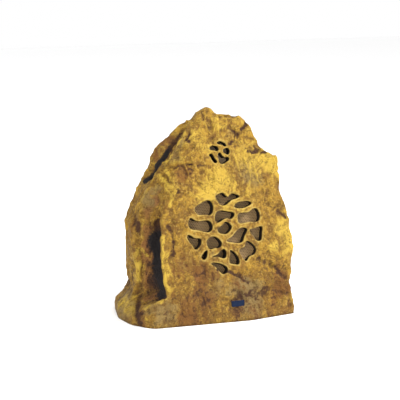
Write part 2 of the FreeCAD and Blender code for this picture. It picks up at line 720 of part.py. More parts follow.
def badge_block(blank, play, height):
    length = size.badge_length.value + 2 * play
    width = size.badge_width.value + 2 * play
    plate = Part.makeBox(length, width, height, Vector(-length / 2, -width / 2, badge_floor(blank)))
    uprights = [edge for edge in plate.Edges if abs(edge.tangentAt(edge.FirstParameter).z) > 0.9]
    plate = plate.makeFillet(size.badge_corner.value + play, uprights)
    plate.Placement = on_face(size.badge_across, size.badge_rise, size.grille_depth.value)
    return plate


blank = rock_blank()
shell = rock_shell(blank)
solid("rock_shell", shell)
solid("badge_plate", badge_block(blank, 0, size.badge_thickness.value))

# Base plate, its gasket and its screws.
play = size.base_clearance.value
plate = slab(inset(FOOT, size.rim_width.value + play), PLATE_LOW.value, PLATE_TOP.value,
             size.corner_radius.value)
gasket = slab(inset(FOOT, size.rim_width.value + play), PLATE_TOP.value, SEAT.value,
              size.corner_radius.value)
gasket = gasket.cut(slab(SEAT_EDGE, 0, 2 * SEAT.value, size.corner_radius.value))
shank_hole = (size.base_screw_radius + size.screw_play).value
head_hole = (size.base_head_radius + size.screw_play).value
head_top = (PLATE_LOW + size.base_head_height).value
through = [pilot(at(spot.x, spot.y), shank_hole, -1, 2 * SEAT.value) for spot in BASE_SPOTS]
sunk = [pilot(at(spot.x, spot.y), head_hole, -1, head_top) for spot in BASE_SPOTS]

BOARD_LOW = PLATE_TOP + size.standoff_height
BOARD_TOP = BOARD_LOW + size.board_thickness
board_corner = (size.board_length / 2 - size.board_inset, size.board_width / 2 - size.board_inset)
BOARD_SPOTS = [Vector(BOARD_X + board_corner[0].value * i,
                      size.board_along.value + board_corner[1].value * j, 0)
               for i in (-1, 1) for j in (-1, 1)]
strap_reach = (size.core_length / 2 + size.strap_play + size.strap_thickness + size.strap_foot / 2).value
STRAP_SPOTS = [Vector(CORE_X + strap_reach * i, size.core_along.value, 0) for i in (-1, 1)]
board_bore = (size.board_screw_radius + size.thread_fit).value
strap_bore = (size.strap_screw_radius + size.thread_fit).value
strap_floor = (PLATE_TOP - size.strap_bite).value - 0.5
tapped = [pilot(at(spot.x, spot.y), strap_bore, strap_floor, 2 * SEAT.value) for spot in STRAP_SPOTS]
solid("base_plate", plate.cut(through + sunk + tapped))
solid("base_gasket", gasket.cut(through))
screws("base_screws", [at(spot.x, spot.y, head_top) for spot in BASE_SPOTS],
       size.base_screw_radius, size.base_screw_length, size.base_head_radius, size.base_head_height)

# Perforated meshes, flat against the baffle plane behind the cracks.
MESH_BACK = -size.mesh_thickness


def mesh(label, radius, pitch, hole, rings, place):
    body = turned(label, [(ZERO, ZERO), (radius, ZERO), (radius, MESH_BACK), (ZERO, MESH_BACK)], place)
    depth = size.mesh_thickness + 1
    drill(body, label + "_centre", ZERO, ZERO, hole, as_size(0.5), depth)
    for ring in range(1, rings + 1):
        drill(body, "%s_ring_%d" % (label, ring), pitch * ring, ZERO, hole, as_size(0.5), depth, 6 * ring)
    return body


woofer_mesh = mesh("woofer_mesh", size.flange_radius, size.woofer_mesh_pitch, size.mesh_hole_radius, 5, WOOFER)
diagonal = size.woofer_screw_circle * math.sqrt(0.5)
woofer_clear = size.woofer_screw_radius + size.screw_play
drill(woofer_mesh, "woofer_mesh_screw", diagonal, diagonal, woofer_clear, as_size(0.5),
      size.mesh_thickness + 1, WOOFER_SCREWS)
tweeter_mesh = mesh("tweeter_mesh", size.face_radius, size.tweeter_mesh_pitch, size.tweeter_hole_radius, 2,
                    TWEETER)
tweeter_clear = size.tweeter_screw_radius + size.screw_play
drill(tweeter_mesh, "tweeter_mesh_screw", ZERO, size.tweeter_screw_circle, tweeter_clear, as_size(0.5),
      size.mesh_thickness + 1, TWEETER_SCREWS)

# Woofer: gasket, pressed basket, surround, cone, cap, coil, spider and motor.
FLANGE = MESH_BACK - size.woofer_gasket_thickness
FLANGE_BACK = FLANGE - size.flange_thickness
LEDGE = -size.spider_depth
MOTOR = -size.basket_depth
sheet_metal = size.flange_thickness
gasket_bore = size.surround_outer + size.fit
woofer_gasket = turned("woofer_gasket", [
    (gasket_bore, MESH_BACK), (size.flange_radius, MESH_BACK), (size.flange_radius, FLANGE),
    (gasket_bore, FLANGE)], WOOFER)
drill(woofer_gasket, "woofer_gasket_screw", diagonal, diagonal, woofer_clear, as_size(0.5),
      size.woofer_gasket_thickness + 4, WOOFER_SCREWS)

woofer_frame = turned("woofer_frame", [
    (size.flange_opening, FLANGE), (size.flange_radius, FLANGE), (size.flange_radius, FLANGE_BACK),
    (size.basket_radius, FLANGE_BACK), (size.basket_waist, LEDGE - sheet_metal),
    (size.basket_foot, LEDGE - sheet_metal), (size.basket_foot, MOTOR - sheet_metal),
    (size.seat_bore, MOTOR - sheet_metal), (size.seat_bore, MOTOR),
    (size.basket_foot - sheet_metal, MOTOR), (size.basket_foot - sheet_metal, LEDGE),
    (size.basket_waist - sheet_metal, LEDGE), (size.basket_radius - sheet_metal, FLANGE_BACK),
    (size.flange_opening, FLANGE_BACK)], WOOFER)
drill(woofer_frame, "woofer_frame_screw", diagonal, diagonal, woofer_clear, FLANGE + 0.5,
      size.flange_thickness + 2, WOOFER_SCREWS)
window_top = size.basket_radius - sheet_metal
window_low = size.basket_waist + sheet_metal
window(woofer_frame, "woofer_frame_window", [
    (window_low, -size.window_foot / 2), (window_top, -size.window_width / 2),
    (window_top, size.window_width / 2), (window_low, size.window_foot / 2)],
    FLANGE_BACK - sheet_metal, LEDGE * -1 + FLANGE_BACK, 6)

lip = FLANGE + size.surround_thickness
turned("woofer_surround", [
    (size.surround_outer, FLANGE), (size.surround_outer, lip), (size.roll_outer, lip),
    (size.roll_inner, lip, size.roll_radius, -1), (size.surround_inner, lip),
    (size.surround_inner, FLANGE), (size.roll_inner + size.surround_thickness, FLANGE),
    (size.roll_outer - size.surround_thickness, FLANGE, size.roll_radius - size.surround_thickness, 1)],
    WOOFER)

coil_outer = size.coil_radius + size.coil_thickness
neck = coil_outer + size.fit
NECK = -size.neck_depth
cone_back = FLANGE - size.cone_thickness
turned("woofer_cone", [
    (size.roll_inner, FLANGE), (size.roll_inner, cone_back), (size.surround_inner, cone_back),
    (neck, NECK - size.cone_thickness), (neck, NECK), (size.surround_inner, FLANGE)], WOOFER)

slope = (FLANGE - NECK) / (size.surround_inner - neck)
cap_foot = NECK + (size.cap_radius - neck) * slope
cap_dome = (size.cap_radius * size.cap_radius + size.cap_height * size.cap_height) / (size.cap_height * 2)
cap_inner = size.cap_radius - size.cap_thickness
cap_rise = size.cap_height - size.cap_thickness
cap_hollow = (cap_inner * cap_inner + cap_rise * cap_rise) / (cap_rise * 2)
turned("woofer_dust_cap", [
    (ZERO, cap_foot + size.cap_height), (size.cap_radius, cap_foot, cap_dome, 1), (cap_inner, cap_foot),
    (ZERO, cap_foot + cap_rise, cap_hollow, -1)], WOOFER)

turned("woofer_voice_coil", [
    (size.coil_radius, NECK + 2), (coil_outer, NECK + 2), (coil_outer, -size.coil_depth),
    (size.coil_radius, -size.coil_depth)], WOOFER)

WAVES = 7
spider_outer = size.basket_waist - sheet_metal - size.fit
flat_outer = size.basket_foot - sheet_metal - 1
flat_inner = neck + 4
wave_step = (flat_outer - flat_inner) / (WAVES + 1)
crests = [(flat_inner + wave_step * k, LEDGE + size.spider_wave * (1 if k % 2 else -1))
          for k in range(1, WAVES + 1)]
lower = [(neck, LEDGE), (flat_inner, LEDGE)] + crests + [(flat_outer, LEDGE), (spider_outer, LEDGE)]
upper = [(radius, height + size.spider_thickness) for radius, height in reversed(lower)]
turned("woofer_spider", lower + upper, WOOFER)

PLATE_FRONT = MOTOR - sheet_metal
MAGNET_FRONT = PLATE_FRONT - size.plate_thickness
YOKE_FRONT = MAGNET_FRONT - size.magnet_thickness
YOKE_BACK = YOKE_FRONT - size.yoke_thickness
turned("woofer_top_plate", [
    (coil_outer + size.gap_clearance, PLATE_FRONT), (size.plate_radius, PLATE_FRONT),
    (size.plate_radius, MAGNET_FRONT), (coil_outer + size.gap_clearance, MAGNET_FRONT)], WOOFER)
turned("woofer_magnet", [
    (size.magnet_bore, MAGNET_FRONT), (size.magnet_radius, MAGNET_FRONT),
    (size.magnet_radius, YOKE_FRONT), (size.magnet_bore, YOKE_FRONT)], WOOFER)
turned("woofer_yoke", [
    (size.vent_radius, PLATE_FRONT), (size.coil_radius - size.gap_clearance, PLATE_FRONT),
    (size.coil_radius - size.gap_clearance, YOKE_FRONT), (size.yoke_radius, YOKE_FRONT),
    (size.yoke_radius, YOKE_BACK), (size.vent_radius, YOKE_BACK)], WOOFER)
screws("woofer_screws",
       bolt_circle(WOOFER, size.woofer_screw_circle, FLANGE_BACK.value, WOOFER_SCREWS, WOOFER_FIRST),
       size.woofer_screw_radius, size.woofer_bite - FLANGE_BACK, size.woofer_head_radius,
       size.woofer_head_height)

# Tweeter: horn plate, dome with its lip, coil and motor.
FACE_BACK = MESH_BACK - size.face_thickness
HORN_BACK = MESH_BACK - size.horn_depth
tweeter_plate = turned("tweeter_plate", [
    (size.mouth_radius, MESH_BACK), (size.face_radius, MESH_BACK), (size.face_radius, FACE_BACK),
    (size.hub_radius, FACE_BACK), (size.hub_radius, HORN_BACK), (size.throat_radius, HORN_BACK)], TWEETER)
drill(tweeter_plate, "tweeter_plate_screw", ZERO, size.tweeter_screw_circle, tweeter_clear,
      MESH_BACK + 0.5, size.face_thickness + 1, TWEETER_SCREWS)
dome_curve = (size.dome_radius * size.dome_radius + size.dome_height * size.dome_height) / (size.dome_height * 2)
dome_inner = size.dome_radius - size.dome_thickness
dome_rise = size.dome_height - size.dome_thickness
dome_hollow = (dome_inner * dome_inner + dome_rise * dome_rise) / (dome_rise * 2)
lip_top = HORN_BACK + size.dome_thickness
turned("tweeter_dome", [
    (ZERO, lip_top + size.dome_height), (size.dome_radius, lip_top, dome_curve, 1),
    (size.dome_lip, lip_top), (size.dome_lip, HORN_BACK), (dome_inner, HORN_BACK), (dome_inner, lip_top),
    (ZERO, lip_top + dome_rise, dome_hollow, -1)], TWEETER)
tweeter_coil_outer = dome_inner + size.tweeter_coil_thickness
TWEETER_COIL = HORN_BACK - size.tweeter_coil_length
turned("tweeter_coil", [
    (dome_inner, HORN_BACK), (tweeter_coil_outer, HORN_BACK), (tweeter_coil_outer, TWEETER_COIL),
    (dome_inner, TWEETER_COIL)], TWEETER)
TWEETER_MAGNET = HORN_BACK - size.tweeter_plate_thickness
TWEETER_YOKE = TWEETER_MAGNET - size.tweeter_magnet_thickness
TWEETER_BACK = TWEETER_YOKE - size.tweeter_yoke_thickness
tweeter_gap = tweeter_coil_outer + size.tweeter_gap
turned("tweeter_top_plate", [
    (tweeter_gap, HORN_BACK), (size.tweeter_plate_radius, HORN_BACK),
    (size.tweeter_plate_radius, TWEETER_MAGNET), (tweeter_gap, TWEETER_MAGNET)], TWEETER)
turned("tweeter_magnet", [
    (size.tweeter_magnet_bore, TWEETER_MAGNET), (size.tweeter_plate_radius, TWEETER_MAGNET),
    (size.tweeter_plate_radius, TWEETER_YOKE), (size.tweeter_magnet_bore, TWEETER_YOKE)], TWEETER)
pole = dome_inner - size.tweeter_gap
turned("tweeter_yoke", [
    (ZERO, HORN_BACK), (pole, HORN_BACK), (pole, TWEETER_YOKE), (size.tweeter_yoke_radius, TWEETER_YOKE),
    (size.tweeter_yoke_radius, TWEETER_BACK), (ZERO, TWEETER_BACK)], TWEETER)
screws("tweeter_screws",
       bolt_circle(TWEETER, size.tweeter_screw_circle, FACE_BACK.value, TWEETER_SCREWS, TWEETER_FIRST),
       size.tweeter_screw_radius, size.tweeter_bite - FACE_BACK, size.tweeter_head_radius,
       size.tweeter_head_height)

# Crossover: a board on four standoffs with its parts.
half_length = size.board_length / 2
half_width = size.board_width / 2
board_place = at(BOARD_X, size.board_along.value, BOARD_LOW.value)
board = pressed("crossover_board", [(-half_length, -half_width), (half_length, -half_width),
                                    (half_length, half_width), (-half_length, half_width)],
                size.board_thickness, board_place)
for index, (i, j) in enumerate([(-1, -1), (-1, 1), (1, -1), (1, 1)]):
    drill(board, "crossover_board_hole_%d" % index, board_corner[0] * i, board_corner[1] * j,
          size.board_screw_radius + size.screw_play, size.board_thickness + 0.5, size.board_thickness + 1)
posts = []
for spot in BOARD_SPOTS:
    post = Part.makeCylinder(size.standoff_radius.value, size.standoff_height.value)
    bore = Part.makeCylinder(board_bore, size.board_bite.value + 1,
                             Vector(0, 0, size.standoff_height.value - size.board_bite.value - 0.5))
    post = post.cut(bore)
    post.Placement = at(spot.x, spot.y, PLATE_TOP.value)
    posts.append(post)
solid("crossover_standoffs", Part.makeCompound(posts))
downward = Rotation(Vector(1, 0, 0), 180)
screws("crossover_screws", [Placement(Vector(spot.x, spot.y, BOARD_TOP.value), downward) for spot in BOARD_SPOTS],
       size.board_screw_radius, size.board_bite + size.board_thickness, size.board_head_radius,
       size.board_head_height)


def on_board(share_x, share_y, lift=0):
    return at(BOARD_X + share_x * half_length.value,
              size.board_along.value + share_y * half_width.value, BOARD_TOP.value + lift)


turned("crossover_inductor", [
    (size.inductor_bore, ZERO), (size.inductor_radius, ZERO), (size.inductor_radius, size.inductor_cheek),
    (size.inductor_wire, size.inductor_cheek),
    (size.inductor_wire, size.inductor_height - size.inductor_cheek),
    (size.inductor_radius, size.inductor_height - size.inductor_cheek),
    (size.inductor_radius, size.inductor_height), (size.inductor_bore, size.inductor_height)],
    on_board(-0.35, 0.2))
lying = Rotation(Vector(0, 1, 0), 90)
capacitor_place = on_board(0.1, 0.55, size.capacitor_radius.value)
capacitor_place.Rotation = lying
keep(rod("crossover_capacitor", size.capacitor_radius, size.capacitor_length, capacitor_place),
     "crossover_capacitor")
keep(block("crossover_resistor", size.resistor_length, size.resistor_width, size.resistor_height,
           on_board(0.12, -0.25)), "crossover_resistor")
terminals = block("terminal_body", size.terminal_length, size.terminal_width, size.terminal_height,
                  on_board(-0.35, -0.95))
way = size.terminal_length / size.terminal_ways
holes = []
for index in range(int(size.terminal_ways.value)):
    place = on_board(-0.35, -0.95, size.terminal_height.value * 0.4)
    place.Base.x += way.value * (index + 0.5)
    place.Base.y -= 1
    place.Rotation = Rotation(Vector(1, 0, 0), -90)
    holes.append(rod("terminal_way_%d" % index, size.terminal_hole, size.terminal_width - 2, place))
keep(less("crossover_terminals", terminals, *holes), "crossover_terminals")

# Line transformer: stacked core, winding on the middle limb, and the strap that holds it down.
core_low = PLATE_TOP + size.core_lift
core_place = Placement(Vector(CORE_X, size.core_along.value, core_low.value),
                       Rotation(Vector(1, 0, 0), 90))
half_core = size.core_length / 2
half_stack = size.core_stack / 2
limb = size.core_limb
core = pressed("transformer_core", [(-half_core, ZERO), (half_core, ZERO), (half_core, size.core_height),
                                    (-half_core, size.core_height)], size.core_stack, core_place, both=True)
window_edge = half_core - limb
for name, sign in (("left", -1), ("right", 1)):
    inner, outer = limb * sign, window_edge * sign
    window(core, "transformer_core_" + name, [
        (inner, limb), (outer, limb), (outer, size.core_height - limb), (inner, size.core_height - limb)],
        half_stack + 1, size.core_stack + 2, 1)
room = size.winding_room
coil_low = core_low + limb + room
coil_height = size.core_height - limb * 2 - room * 2
coil_half = window_edge - room
coil_deep = half_stack + size.winding_swell
winding = block("winding_body", coil_half * 2, coil_deep * 2, coil_height,
                at(CORE_X - coil_half.value, (size.core_along - coil_deep).value, coil_low.value))
hole_half = limb + room
hole_deep = half_stack + room
middle = block("winding_hole", hole_half * 2, hole_deep * 2, coil_height + 2,
               at(CORE_X - hole_half.value, (size.core_along - hole_deep).value,
                  coil_low.value - 1))
keep(less("transformer_winding", winding, middle), "transformer_winding")
inner = half_core + size.strap_play
outer = inner + size.strap_thickness
foot = outer + size.strap_foot
top = size.core_lift + size.core_height
strap = size.strap_thickness
strap_place = Placement(Vector(CORE_X, size.core_along.value, PLATE_TOP.value),
                        Rotation(Vector(1, 0, 0), 90))
strap_body = pressed("transformer_strap", [
    (-foot, ZERO), (-inner, ZERO), (-inner, top), (inner, top), (inner, ZERO), (foot, ZERO), (foot, strap),
    (outer, strap), (outer, top + strap), (-outer, top + strap), (-outer, strap), (-foot, strap)],
    size.strap_width, strap_place, both=True)
saddle = block("transformer_saddle", size.core_length, size.core_stack, size.core_lift,
               at(CORE_X - half_core.value, (size.core_along - half_stack).value, PLATE_TOP.value))
keep(saddle, "transformer_saddle")


def strap_holes(body):
    """Screw holes down through the two feet of the strap."""
    doc.recompute()
    sketch = new_sketch(body, "strap_holes_sketch", "XZ_Plane")
    reach = outer + size.strap_foot / 2
    radius = size.strap_screw_radius + size.screw_play
    for sign in (-1, 1):
        centre = Vector(reach.value * sign, 0, 0)
        number = sketch.addGeometry(Part.Circle(centre, Vector(0, 0, 1), radius.value), False)
        pin(sketch, number, 3, reach * sign, ZERO)
        index = sketch.addConstraint(Sketcher.Constraint("Radius", number, radius.value))
        sketch.setExpression("Constraints[%d]" % index, radius.text)
    before = body.Shape.Volume
    pocket = body.newObject("PartDesign::Pocket", "strap_holes")
    pocket.Profile = sketch
    pocket.Length = 2 * strap.value
    pocket.setExpression("Length", (strap * 2).text)
    doc.recompute()
    if body.Shape.Volume > before - 1e-3:
        pocket.Reversed = True
        doc.recompute()
    if body.Shape.Volume > before - 1e-3:
        raise RuntimeError("strap holes cut nothing")


strap_holes(strap_body)
screws("transformer_screws",
       [Placement(Vector(spot.x, spot.y, (PLATE_TOP + strap).value), downward) for spot in STRAP_SPOTS],
       size.strap_screw_radius, size.strap_bite + strap, size.strap_head_radius, size.strap_head_height)

# Cable gland: body through the wall, lock nut inside, rubber seal and domed nut outside.


def on_gland(height):
    return GLAND.multiply(Placement(Vector(0, 0, height), Rotation()))


tail = size.gland_wall + size.locknut_height + size.gland_tail
front_end = size.gland_hex_height + size.gland_front
gland_body = fused("gland_body_blank", hexagon("gland_hexagon", size.gland_hex, size.gland_hex_height, GLAND),
                   rod("gland_tube", size.gland_thread, tail + front_end, on_gland(-tail.value)))
gland_bore = rod("gland_bore_tool", size.gland_bore, tail + front_end + 2, on_gland(-tail.value - 1))
keep(less("gland_body", gland_body, gland_bore), "gland_body")
nut_low = -(size.gland_wall + size.locknut_height).value
locknut = hexagon("locknut_blank", size.locknut_hex, size.locknut_height, on_gland(nut_low))
locknut_bore = rod("locknut_bore", size.gland_thread + size.fit, size.locknut_height + 2, on_gland(nut_low - 1))
keep(less("gland_locknut", locknut, locknut_bore), "gland_locknut")
seal_low = (front_end - size.seal_length).value
seal = rod("seal_blank", size.gland_bore - size.fit, size.seal_length, on_gland(seal_low))
seal_bore = rod("seal_bore", size.cable_radius, size.seal_length + 2, on_gland(seal_low - 1))
keep(less("gland_seal", seal, seal_bore), "gland_seal")
cap_low = size.gland_hex_height.value
gland_cap = hexagon("cap_blank", size.gland_cap_hex, size.gland_cap_height, on_gland(cap_low))
cap_thread = rod("cap_thread", size.gland_thread + size.fit, size.gland_front + 1, on_gland(cap_low - 1))
cap_mouth = rod("cap_mouth", size.cable_radius + 1, size.gland_cap_height + 2, on_gland(cap_low - 1))
keep(less("gland_cap", gland_cap, cap_thread, cap_mouth), "gland_cap")

doc.recompute()
for thing in doc.Objects:
    if "Invalid" in thing.State or "Error" in thing.State:
        raise RuntimeError("%s failed: %s" % (thing.Label, thing.State))
for thing in PARTS:
    if thing.Shape.isNull() or not thing.Shape.isValid() or not thing.Shape.Solids:
        raise RuntimeError(thing.Label + " has no valid solid")
os.makedirs("parts", exist_ok=True)
for thing in PARTS:
    thing.Shape.exportStep("parts/%s.step" % thing.Label)
    box = thing.Shape.BoundBox
    print("%-22s %d solid(s) %12.1f mm3  x %.1f..%.1f  y %.1f..%.1f  z %.1f..%.1f" % (
        thing.Label, len(thing.Shape.Solids), thing.Shape.Volume, box.XMin, box.XMax, box.YMin, box.YMax,
        box.ZMin, box.ZMax))
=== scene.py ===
# %% [markdown]
# # A garden speaker shaped like a rock
# A garden speaker stands outdoors and looks like a rock with two cracked places, behind which the drivers
# play. The imported solids come in first as a fixed frame. Every piece made below is in the same frame, in
# metres, with +Z up and the grilles towards -Y. The box of the solids is kept, and the shell's points are
# held just within it.

# %% Load the frame
import bpy
import math
import numpy as np
from mathutils.geometry import delaunay_2d_cdt
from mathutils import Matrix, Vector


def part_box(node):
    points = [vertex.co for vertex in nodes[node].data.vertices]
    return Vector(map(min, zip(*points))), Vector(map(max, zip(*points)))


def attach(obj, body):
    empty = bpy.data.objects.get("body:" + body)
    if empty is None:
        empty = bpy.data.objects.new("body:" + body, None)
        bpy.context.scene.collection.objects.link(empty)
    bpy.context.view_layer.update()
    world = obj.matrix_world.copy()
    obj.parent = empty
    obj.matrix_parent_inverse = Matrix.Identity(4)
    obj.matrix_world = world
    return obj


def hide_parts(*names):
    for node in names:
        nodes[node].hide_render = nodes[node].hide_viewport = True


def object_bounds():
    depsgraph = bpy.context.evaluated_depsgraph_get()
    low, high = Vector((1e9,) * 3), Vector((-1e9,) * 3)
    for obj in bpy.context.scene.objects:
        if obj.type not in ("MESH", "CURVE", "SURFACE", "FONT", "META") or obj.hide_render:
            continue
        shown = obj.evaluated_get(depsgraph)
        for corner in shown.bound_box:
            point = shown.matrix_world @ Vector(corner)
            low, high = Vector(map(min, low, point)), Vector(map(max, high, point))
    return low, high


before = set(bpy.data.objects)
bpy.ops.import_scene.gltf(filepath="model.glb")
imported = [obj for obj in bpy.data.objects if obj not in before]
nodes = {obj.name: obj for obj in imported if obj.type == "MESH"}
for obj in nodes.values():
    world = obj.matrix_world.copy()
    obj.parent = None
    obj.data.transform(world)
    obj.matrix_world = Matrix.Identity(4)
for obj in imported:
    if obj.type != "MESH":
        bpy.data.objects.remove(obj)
solid_box = [list(corner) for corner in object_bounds()]
print("solids", len(nodes), "box", solid_box)

# %% [markdown]
# ## Camera
# The photograph was taken with a long lens from the left of the front, a little above the rock. A
# camera in Blender looks along its own -Z axis, so it is tipped up by 90 degrees less its height
# angle and then turned about the vertical.

# %% Camera
CAMERA_PLACE = (-0.82596, -1.94132, 0.62561)
ABOVE_GROUND, FROM_FRONT = 11.5, 23
camera_data = bpy.data.cameras.new("camera")
camera_data.lens = 110
camera_data.sensor_width = 36
camera = bpy.data.objects.new("camera", camera_data)
camera.location = CAMERA_PLACE
camera.rotation_euler = (math.radians(90 - ABOVE_GROUND), 0, math.radians(-FROM_FRONT))
bpy.context.scene.collection.objects.link(camera)
bpy.context.scene.camera = camera
print("camera at", tuple(camera.location))

# %% [markdown]
# ## Floor and light
# The photograph has a white surround and fairly soft light, with shade on the left flank. A pale floor
# and a white world give the surround. A small key lamp at the upper right rakes over the front and brings
# out the relief, a broad fill lamp at the left keeps the flank readable, and a weak rim lamp stands behind.

# %% Floor and light
LAMPS = [  # name, place, aim, side of the square in metres, power in watts
    ("key_lamp", (1.8, -1.1, 2.1), (0, 0, 0.16), 0.4, 110),
    ("fill_lamp", (-1.8, -1.3, 1.0), (0, 0, 0.16), 1.0, 30),
    ("rim_lamp", (0.4, 1.5, 1.6), (0, 0, 0.2), 1.0, 6),
]


def area_lamp(name, place, aim, size, power):
    """A square lamp at a place, turned so that its -Z axis points at the aim."""
    data = bpy.data.lights.new(name, "AREA")
    data.energy = power
    data.size = size
    lamp = bpy.data.objects.new(name, data)
    lamp.location = place
    away = np.array(place) - np.array(aim)
    lamp.rotation_euler = (math.atan2(math.hypot(away[0], away[1]), away[2]), 0,
                           math.atan2(away[0], -away[1]))
    bpy.context.scene.collection.objects.link(lamp)


for lamp_values in LAMPS:
    area_lamp(*lamp_values)
world = bpy.data.worlds.new("pale_room")
world.use_nodes = True
world.node_tree.nodes["Background"].inputs["Color"].default_value = (1, 1, 1, 1)
world.node_tree.nodes["Background"].inputs["Strength"].default_value = 1.0
bpy.context.scene.world = world
bpy.context.scene.view_settings.view_transform = "Standard"

floor_mesh = bpy.data.meshes.new("floor")
floor_mesh.from_pydata([(-6, -6, 0), (6, -6, 0), (6, 6, 0), (-6, 6, 0)], [], [(0, 1, 2, 3)])
floor = bpy.data.objects.new("floor", floor_mesh)
floor_paint = bpy.data.materials.new("pale_floor")
floor_paint.use_nodes = True
floor_shader = floor_paint.node_tree.nodes["Principled BSDF"]
floor_shader.inputs["Base Color"].default_value = (0.95, 0.95, 0.95, 1)
floor_shader.inputs["Roughness"].default_value = 0.7
floor_mesh.materials.append(floor_paint)
bpy.context.scene.collection.objects.link(floor)
print("lamps", len(LAMPS), "and a floor of", floor.dimensions[:2])

# %% [markdown]
# ## The rock's net
# The shell is a cast of a carved rock. Its form is held by nine ridge lines that climb from the
# ground to the crest, each drawn as a place in plan at the same eleven heights, in millimetres. A
# net of 96 by 60 points is walked over them, and the smooth skin is a cubic B-spline over that net,
# the same as in the solids, so that the two agree. A rock could also be sculpted by hand, but then it
# would not fit the solids, and no number in it could be changed.

# %% Ridge lines
# Each ridge has its x and y at the eleven heights. The crest has one point for each ridge.
HEIGHTS = np.array([0, 14, 30, 48, 110, 165, 205, 272, 287, 325, 341], float)
RIDGES = np.array([
    [(131, -104), (134, -99), (132, -94), (129, -88), (148, -67), (144, -56), (132, -46), (131, -35),
     (98, -28), (84, -18), (70, -8)],
    [(150, -10), (152, -8), (151, -6), (146, -4), (150, 2), (142, 6), (127, 8), (117, 12), (88, 14),
     (71, 14), (58, 8)],
    [(104, 92), (106, 94), (106, 94), (102, 92), (98, 86), (88, 78), (78, 68), (59, 51), (53, 45),
     (42, 30), (34, 14)],
    [(-70, 101), (-72, 102), (-70, 102), (-68, 100), (-66, 94), (-62, 86), (-52, 74), (-33, 53),
     (-27, 47), (-10, 32), (3, 18)],
    [(-147, 62), (-152, 60), (-138, 58), (-124, 56), (-131, 52), (-133, 48), (-117, 44), (-88, 32),
     (-80, 29), (-47, 20), (-19, 10)],
    [(-165, -10), (-163, -9), (-149, -8), (-131, -8), (-134, -6), (-132, -6), (-117, -4), (-83, -2),
     (-72, -2), (-41, -2), (-16, 0)],
    [(-158, -57), (-156, -55), (-141, -45), (-103, -34), (-90, -27), (-90, -26), (-93, -25), (-68, -17),
     (-57, -13), (-33, -8), (-11, -4)],
    [(-131, -95), (-132, -93), (-130, -91), (-104, -88), (-110, -72), (-105, -60), (-90, -50),
     (-58, -31), (-48, -27), (-24, -18), (-2, -8)],
    [(44, -114), (42, -110), (30, -104), (16, -95), (4, -75), (6, -62), (8, -52), (13, -35), (14, -31),
     (20, -22), (24, -14)],
], float)
CREST = np.array([(64, 0, 342), (52, 4, 340), (34, 6, 334), (13, 6, 358), (7, 4, 362), (4, 2, 363),
                  (6, 0, 363), (12, -1, 361), (29, -4, 339)], float)
SUMMIT = np.array((22, 2, 345), float)
# Creases that the solids have too: reach, depth (below zero for a rib) and path.
CREASES = [
    (8, 14, [(-38, 4, 323), (-54, 2, 303), (-72, 1, 276), (-86, 7, 253), (-95, 12, 241)]),
    (6, 3, [(5, -80, 89), (28, -80, 85), (51, -85, 63)]),
    (8, 4, [(49, -77, 95), (73, -74, 101), (115, -81, 71)]),
    (11, 4, [(27, -97, 42), (54, -96, 44), (95, -93, 41)]),
    (8, 6, [(-126, 15, 179), (-127, -7, 167), (-125, -11, 154)]),
    (8, 5, [(-133, 5, 88), (-130, 20, 63)]),
    (15, 4, [(-30, -79, 89), (-36, -92, 40)]),
    (7, 3, [(0, -4, 352), (5, -19, 327), (27, -16, 336)]),
    (7, -3, [(-15, -9, 336), (-30, -34, 267)]),
    (10, 6, [(30, 60, 240), (24, 78, 180), (40, 92, 110)]),
    (9, 5, [(124, 40, 130), (118, 46, 90), (130, 30, 50)]),
]
NET_AROUND, NET_UP = 96, 60
# The lines are drawn about their own middle; this moves them to the frame of the solids.
SHIFT = np.array([6.5, 6.0, 0.0])
print("ridges", RIDGES.shape, "creases", len(CREASES))

# %% [markdown]
# ## Walking the net
# Each level's outline is walked in even shares of its length, and so is each way up, so the net's points
# lie evenly where the rock is wide and where it is narrow. Creases then push the net inwards, by a bell
# curve of the distance from their path.

# %% Net
def shares(steps, count):
    """Spreads count places evenly over a chain of steps: which step, and how far along it."""
    ends = np.concatenate([[0], np.cumsum(steps)])
    places = ends[-1] * np.arange(count) / count
    step = np.clip(np.searchsorted(ends, places, side="left") - 1, 0, len(steps) - 1)
    return step, np.clip((places - ends[step]) / np.asarray(steps)[step], 0, 1)


def path_distance(points, path):
    """The least distance from each point to a bent line, one straight run at a time."""
    path = np.array(path, float)
    nearest = np.full(points.shape[:-1], 1e9)
    for start, end in zip(path, path[1:]):
        along = end - start
        share = np.clip((points - start) @ along / (along @ along), 0, 1)
        nearest = np.minimum(nearest, np.linalg.norm(points - start - share[..., None] * along, axis=-1))
    return nearest


def grooves(points, lines):
    """Depth of soft grooves: each one's depth times a bell curve of the distance from its path."""
    return sum(depth * np.exp(-(path_distance(points, path) / reach) ** 2) for reach, depth, path in lines)


def grid_normals(grid):
    """Outward directions of a grid that closes round its first axis: cross products of central steps."""
    side = np.roll(grid, -1, 0) - np.roll(grid, 1, 0)
    rise = np.gradient(grid, axis=1)
    out = np.cross(side, rise)
    return out / np.maximum(np.linalg.norm(out, axis=-1, keepdims=True), 1e-9)


